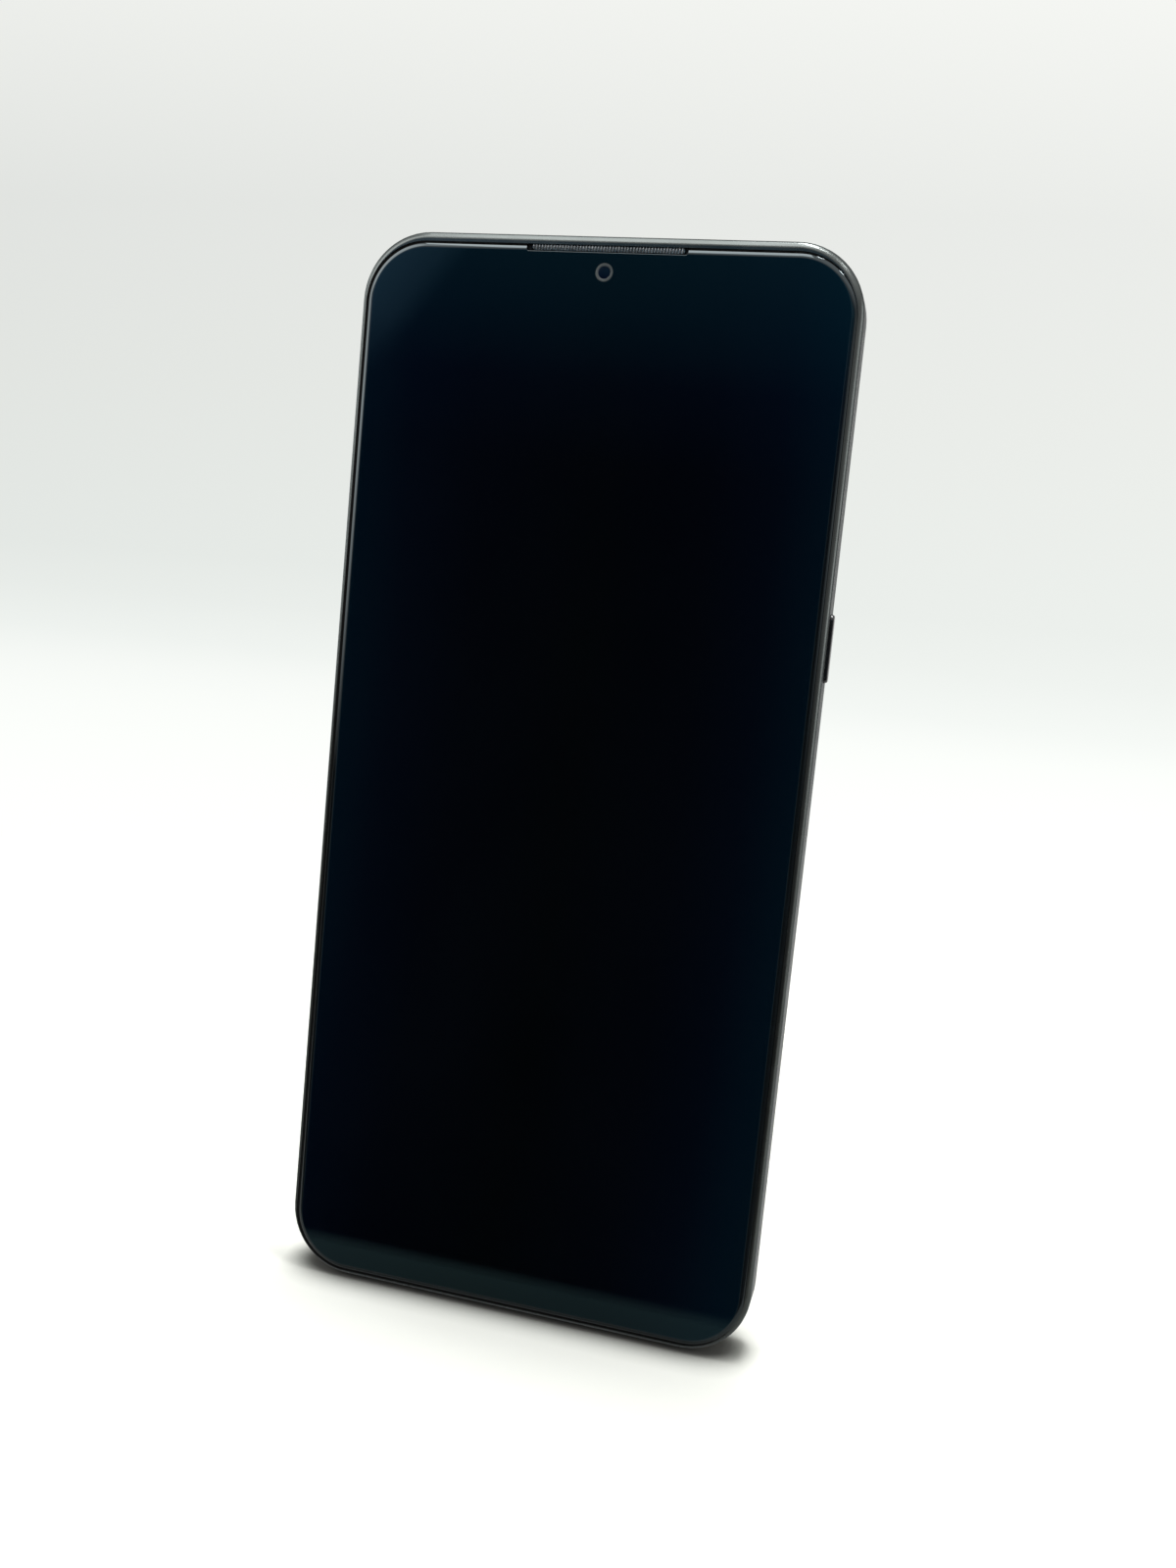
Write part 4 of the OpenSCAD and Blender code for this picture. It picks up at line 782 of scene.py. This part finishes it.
flashCap.data.materials.append(grainedFinish("flashRings", **flashTone, toneScale=900, grainScale=2500,
                                             grain=0.00001))
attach(flashCap, "phone")
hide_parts("flash_lens")
print("camera island made")


# floor and backdrop, one swept sheet; paintedShadowTones darken the floor's paint where the phone stands
# close over it, a painted contact shadow
stageSize = dict(halfWidth=1.6, front=-0.9, back=1.05, height=1.8, cove=0.30, lean=3.5, heel=0.0016,
                 sink=0.00002,
                 paintedShadowReach=0.006, paintedShadowTones=[(0.50, (0.16, 0.16, 0.15)), (0.65, (0.45, 0.46, 0.43)),
                                             (0.85, (0.80, 0.81, 0.76)), (1.0, (0.93, 0.94, 0.885))],
                 shadeStart=-0.0165, shadeEnd=-0.0215, dimming=0.70,
                 eyeReach=(0.10, 0.35), sideReach=(-0.9, 0.3), climbReach=(0.0, 0.8),
                 # the backdrop's glow is darker to the left and at mid height: painted light falloff
                 paintedSideFalloff=[(0.0, (0.905, 0.91, 0.91)), (1.0, (1.0, 1.0, 1.0))],
                 paintedWallFalloff=[(0.0, (1.08, 1.09, 1.07)), (0.045, (1.02, 1.04, 1.01)),
                            (0.085, (0.93, 0.96, 0.93)), (0.13, (0.88, 0.91, 0.88)),
                            (0.18, (0.85, 0.88, 0.85)), (0.40, (0.84, 0.86, 0.83)),
                            (0.60, (0.835, 0.85, 0.825)), (0.825, (0.93, 0.94, 0.91)),
                            (1.0, (1.0, 1.0, 0.96))])


def buildSweep(s):
    clearPick()
    bpy.ops.mesh.primitive_plane_add(size=1, location=(0, (s["front"] + s["back"]) / 2, -s["sink"]))
    sweep = bpy.context.object
    sweep.scale = (2 * s["halfWidth"], s["back"] - s["front"], 1)
    sweep = startPiece("sweep")
    edge = s["back"] - 0.01
    openUp(sweep)
    pickEdges(sweep, lambda a, b: min(a.y, b.y) > edge)
    bpy.ops.mesh.extrude_region_move(TRANSFORM_OT_translate={"value": (0, 0, s["height"])})
    pickEdges(sweep, lambda a, b: min(a.y, b.y) > edge and max(abs(a.z), abs(b.z)) < 0.01)
    bpy.ops.mesh.bevel(offset=s["cove"], segments=24)
    closeUp(sweep, 60)
    # the phone stands on its rear edge, so the floor falls a little towards the front
    heel = Vector((0, s["heel"], 0))
    sweep.data.transform(Matrix.Translation(heel) @ Matrix.Rotation(math.radians(s["lean"]), 4, "X")
                         @ Matrix.Translation(-heel))
    return sweep


def sweepFinish(s):
    finish, tree, shader, place = newFinish("paleSweep")
    nodes, links = tree.nodes, tree.links
    nodes.remove(shader)
    axes = nodes.new("ShaderNodeSeparateXYZ")
    links.new(place, axes.inputs[0])
    paint = nodes.new("ShaderNodeBsdfDiffuse")
    # painted contact shadow: ambient occlusion darkens the floor's paint colour close to the phone
    paintedShadowAO = nodes.new("ShaderNodeAmbientOcclusion")
    paintedShadowAO.inputs["Distance"].default_value = s["paintedShadowReach"]
    links.new(rampOf(tree, paintedShadowAO.outputs["AO"], s["paintedShadowTones"]), paint.inputs["Color"])
    # the eye sees a pale backdrop glowing behind the lit floor, with painted light falloff: darker at mid
    # height and towards the left
    wall = nodes.new("ShaderNodeEmission")
    climb = rampOf(tree, rangeOf(tree, axes.outputs["Z"], 0, 1, *s["climbReach"]), s["paintedWallFalloff"])
    left = rampOf(tree, rangeOf(tree, axes.outputs["X"], 0, 1, *s["sideReach"]), s["paintedSideFalloff"])
    blend = nodes.new("ShaderNodeVectorMath")
    blend.operation = "MULTIPLY"
    links.new(climb, blend.inputs[0])
    links.new(left, blend.inputs[1])
    links.new(blend.outputs[0], wall.inputs["Color"])
    reach = nodes.new("ShaderNodeVectorMath")
    reach.operation = "LENGTH"
    links.new(place, reach.inputs[0])
    farOff = rangeOf(tree, reach.outputs["Value"], 0, 1, *s["eyeReach"])
    path = nodes.new("ShaderNodeLightPath")
    byEye = mathOf(tree, "MULTIPLY", farOff, path.outputs["Is Camera Ray"])
    ground = mixOf(tree, byEye, paint.outputs[0], wall.outputs[0])
    # to gloss the floor is mostly clear, and wholly clear in front of the phone
    clear = nodes.new("ShaderNodeBsdfTransparent")
    nearEdge = rangeOf(tree, axes.outputs["Y"], s["dimming"], 1, s["shadeStart"], s["shadeEnd"])
    byGloss = mathOf(tree, "MULTIPLY", nearEdge, path.outputs["Is Glossy Ray"])
    links.new(mixOf(tree, byGloss, ground, clear.outputs[0]), nodes["Material Output"].inputs["Surface"])
    return finish


sweep = buildSweep(stageSize)
sweep.data.materials.append(sweepFinish(stageSize))

# the room that gloss shows, by the way a reflection looks: across from left to right, along from front
# to back, and up; a name that ends in one of these holds the two places between which that part fades
room = dict(middle=-0.255, sideWide=0.32, ceilingHigh=0.26, rightFade=0.15, rightAcross=(0.0, 0.12),
            paneTone=(0.30, 0.32, 0.43, 1), paneSlant=0.70, paneEdge=(-0.530, -0.515),
            paneDeep=(-0.558, -0.526), paneDim=0.45, paneUp=(0.14, 0.20), paneAcross=(-0.52, -0.44),
            dim=0.10, back=0.90, backAlong=(-0.15, 0.20), leftDim=0.30, leftAcross=(-0.90, -0.50),
            right=0.80, paleAcross=(0.50, 0.95), paleUp=(-0.15, 0.08),
            leftStreak=3.2, streakAcross=(0.66, 0.78), streakUp=(-0.12, 0.14), streakAlong=(-0.15, 0.15),
            crown=1.5, crownUp=(0.25, 0.65), boxAim=(-0.66, -0.45, 0.60), boxGlow=4.5,
            boxReach=(0.905, 0.955), aroundTone=(0.8, 0.8, 0.8, 1),
            frontUntil=-0.80, frontBelow=0.30, frontFade=(0.0, 0.12),
            dimFront=0.42, fill=0.70, fillAlong=(-0.6, 0.1),
            sideGlow=[(0.0, (0, 0, 0)), (0.25, (0.0, 0.002, 0.02)), (0.39, (0.0, 0.016, 0.06)),
                      (0.50, (0.003, 0.07, 0.14)), (0.62, (0.06, 0.12, 0.17)), (1.0, (0.30, 0.34, 0.36))],
            topGlow=[(0.0, (0, 0, 0)), (0.45, (0.0, 0.002, 0.012)), (0.66, (0.003, 0.02, 0.06)),
                     (0.84, (0.015, 0.10, 0.17)), (1.0, (0.045, 0.17, 0.25))])


def lightRoom(s):
    world = bpy.data.worlds.new("studio")
    bpy.context.scene.world = world
    world.use_nodes = True
    tree = world.node_tree
    nodes, links = tree.nodes, tree.links
    nodes.clear()
    way = nodes.new("ShaderNodeTexCoord").outputs["Generated"]
    axes = nodes.new("ShaderNodeSeparateXYZ")
    links.new(way, axes.inputs[0])
    across, along, up = axes.outputs

    def do(kind, first, second):
        return mathOf(tree, kind, first, second)

    def fade(amount, low, high, reach):
        return rangeOf(tree, amount, low, high, *reach)

    def glow(tone, strength):
        light = nodes.new("ShaderNodeBackground")
        for socket, value in (("Color", tone), ("Strength", strength)):
            if isinstance(value, (tuple, int, float)):
                light.inputs[socket].default_value = value
            else:
                links.new(value, light.inputs[socket])
        return light.outputs[0]

    white = (1, 1, 1, 1)
    # a dim room in front, a little lighter to its sides and towards its ceiling
    sideways = do("DIVIDE", do("ABSOLUTE", do("SUBTRACT", across, s["middle"]), 0), s["sideWide"])
    upward = do("DIVIDE", up, s["ceilingHigh"])
    inFront = glow(rampOf(tree, sideways, s["sideGlow"]), fade(across, 1, s["rightFade"], s["rightAcross"]))
    dimRoom = addOf(tree, inFront, glow(rampOf(tree, upward, s["topGlow"]), 1))
    # a faint pane of daylight high on the left, cut off by a slanting edge
    slant = do("SUBTRACT", across, do("MULTIPLY", up, s["paneSlant"]))
    paneShape = do("MULTIPLY", do("MULTIPLY", fade(slant, 1, 0, s["paneEdge"]),
                                  fade(slant, 1, s["paneDim"], s["paneDeep"])),
                   do("MULTIPLY", fade(up, 0, 1, s["paneUp"]), fade(across, 0, 1, s["paneAcross"])))
    frontView = addOf(tree, dimRoom, glow(s["paneTone"], paneShape))
    # elsewhere a white ceiling and backdrop, dark to the left and pale to the right of the front
    walls = do("MULTIPLY", fade(along, s["dim"], s["back"], s["backAlong"]),
               fade(across, s["leftDim"], 1, s["leftAcross"]))
    paleRight = do("MULTIPLY", fade(across, 0, s["right"], s["paleAcross"]), fade(up, 0, 1, s["paleUp"]))
    streak = do("MULTIPLY", fade(do("MULTIPLY", across, -1), 0, s["leftStreak"], s["streakAcross"]),
                do("MULTIPLY", fade(up, 0, 1, s["streakUp"]), fade(along, 1, 0, s["streakAlong"])))
    ceiling = fade(up, 0, s["crown"], s["crownUp"])
    # a soft box high on the left, which the rolled corner of the glass shows
    aim = nodes.new("ShaderNodeVectorMath")
    aim.operation = "DOT_PRODUCT"
    links.new(way, aim.inputs[0])
    aim.inputs[1].default_value = s["boxAim"]
    box = fade(aim.outputs["Value"], 0, s["boxGlow"], s["boxReach"])
    around = glow(s["aroundTone"], do("MAXIMUM", do("MAXIMUM", walls, paleRight),
                                      do("MAXIMUM", do("MAXIMUM", streak, box), ceiling)))
    turned = fade(do("MAXIMUM", do("SUBTRACT", along, s["frontUntil"]), do("SUBTRACT", up, s["frontBelow"])),
                  0, 1, s["frontFade"])
    glossView = mixOf(tree, turned, frontView, around)
    # soft light for all other surfaces, and plain white to the eye
    soft = glow(white, fade(along, s["dimFront"], s["fill"], s["fillAlong"]))
    path = nodes.new("ShaderNodeLightPath")
    onlyGloss = do("MULTIPLY", path.outputs["Is Glossy Ray"],
                   do("SUBTRACT", 1.0, path.outputs["Is Transmission Ray"]))
    unseen = mixOf(tree, onlyGloss, soft, glossView)
    out = nodes.new("ShaderNodeOutputWorld")
    links.new(mixOf(tree, path.outputs["Is Camera Ray"], unseen, glow(white, 1)), out.inputs["Surface"])


lightRoom(room)

# name: place, aim, width, height, watts
lamps = dict(
    overhead=((-0.12, -0.15, 0.75), (-0.12, -0.15, 0), 0.32, 0.70, 2.7),
    behind=((0.06, 0.03, 0.75), (0, 0, 0), 0.30, 0.06, 2.6),
    spark=((0.36, -0.16, 0.75), (0, 0, 0.165), 0.06, 0.06, 0.5),
    leftPanel=((-0.70, 0.20, 0.30), (0, 0, 0.08), 0.20, 0.50, 1.2),
    rightPanel=((0.75, 0.25, 0.25), (0, 0, 0.08), 0.35, 0.50, 1.0))


def hangLamp(name, spot, aim, width, height, watts):
    clearPick()
    bpy.ops.object.light_add(type="AREA", location=spot)
    lamp = bpy.context.object
    lamp.name = lamp.data.name = name
    lamp.data.shape = "RECTANGLE"
    lamp.data.size, lamp.data.size_y = width, height
    lamp.data.energy = watts
    lamp.rotation_euler = (Vector(aim) - Vector(spot)).to_track_quat("-Z", "Y").to_euler()


for lampName, lampFacts in lamps.items():
    hangLamp(lampName, *lampFacts)

# camera: place in metres, turn in degrees, lens and sensor in mm, nearest and farthest thing it sees
viewFrom = dict(spot=(0.05506, -0.20563, 0.10822), turn=(83.64, -5.543, 14.6), lens=31.66, sensor=36.0,
                reach=(0.005, 20))


def setCamera(s):
    clearPick()
    bpy.ops.object.camera_add(location=s["spot"], rotation=[math.radians(a) for a in s["turn"]])
    camera = bpy.context.object
    camera.data.lens, camera.data.sensor_width = s["lens"], s["sensor"]
    camera.data.sensor_fit = "AUTO"
    camera.data.clip_start, camera.data.clip_end = s["reach"]
    bpy.context.scene.camera = camera


setCamera(viewFrom)
bpy.context.scene.view_settings.view_transform = "Standard"
print("stage, lamps and camera set")
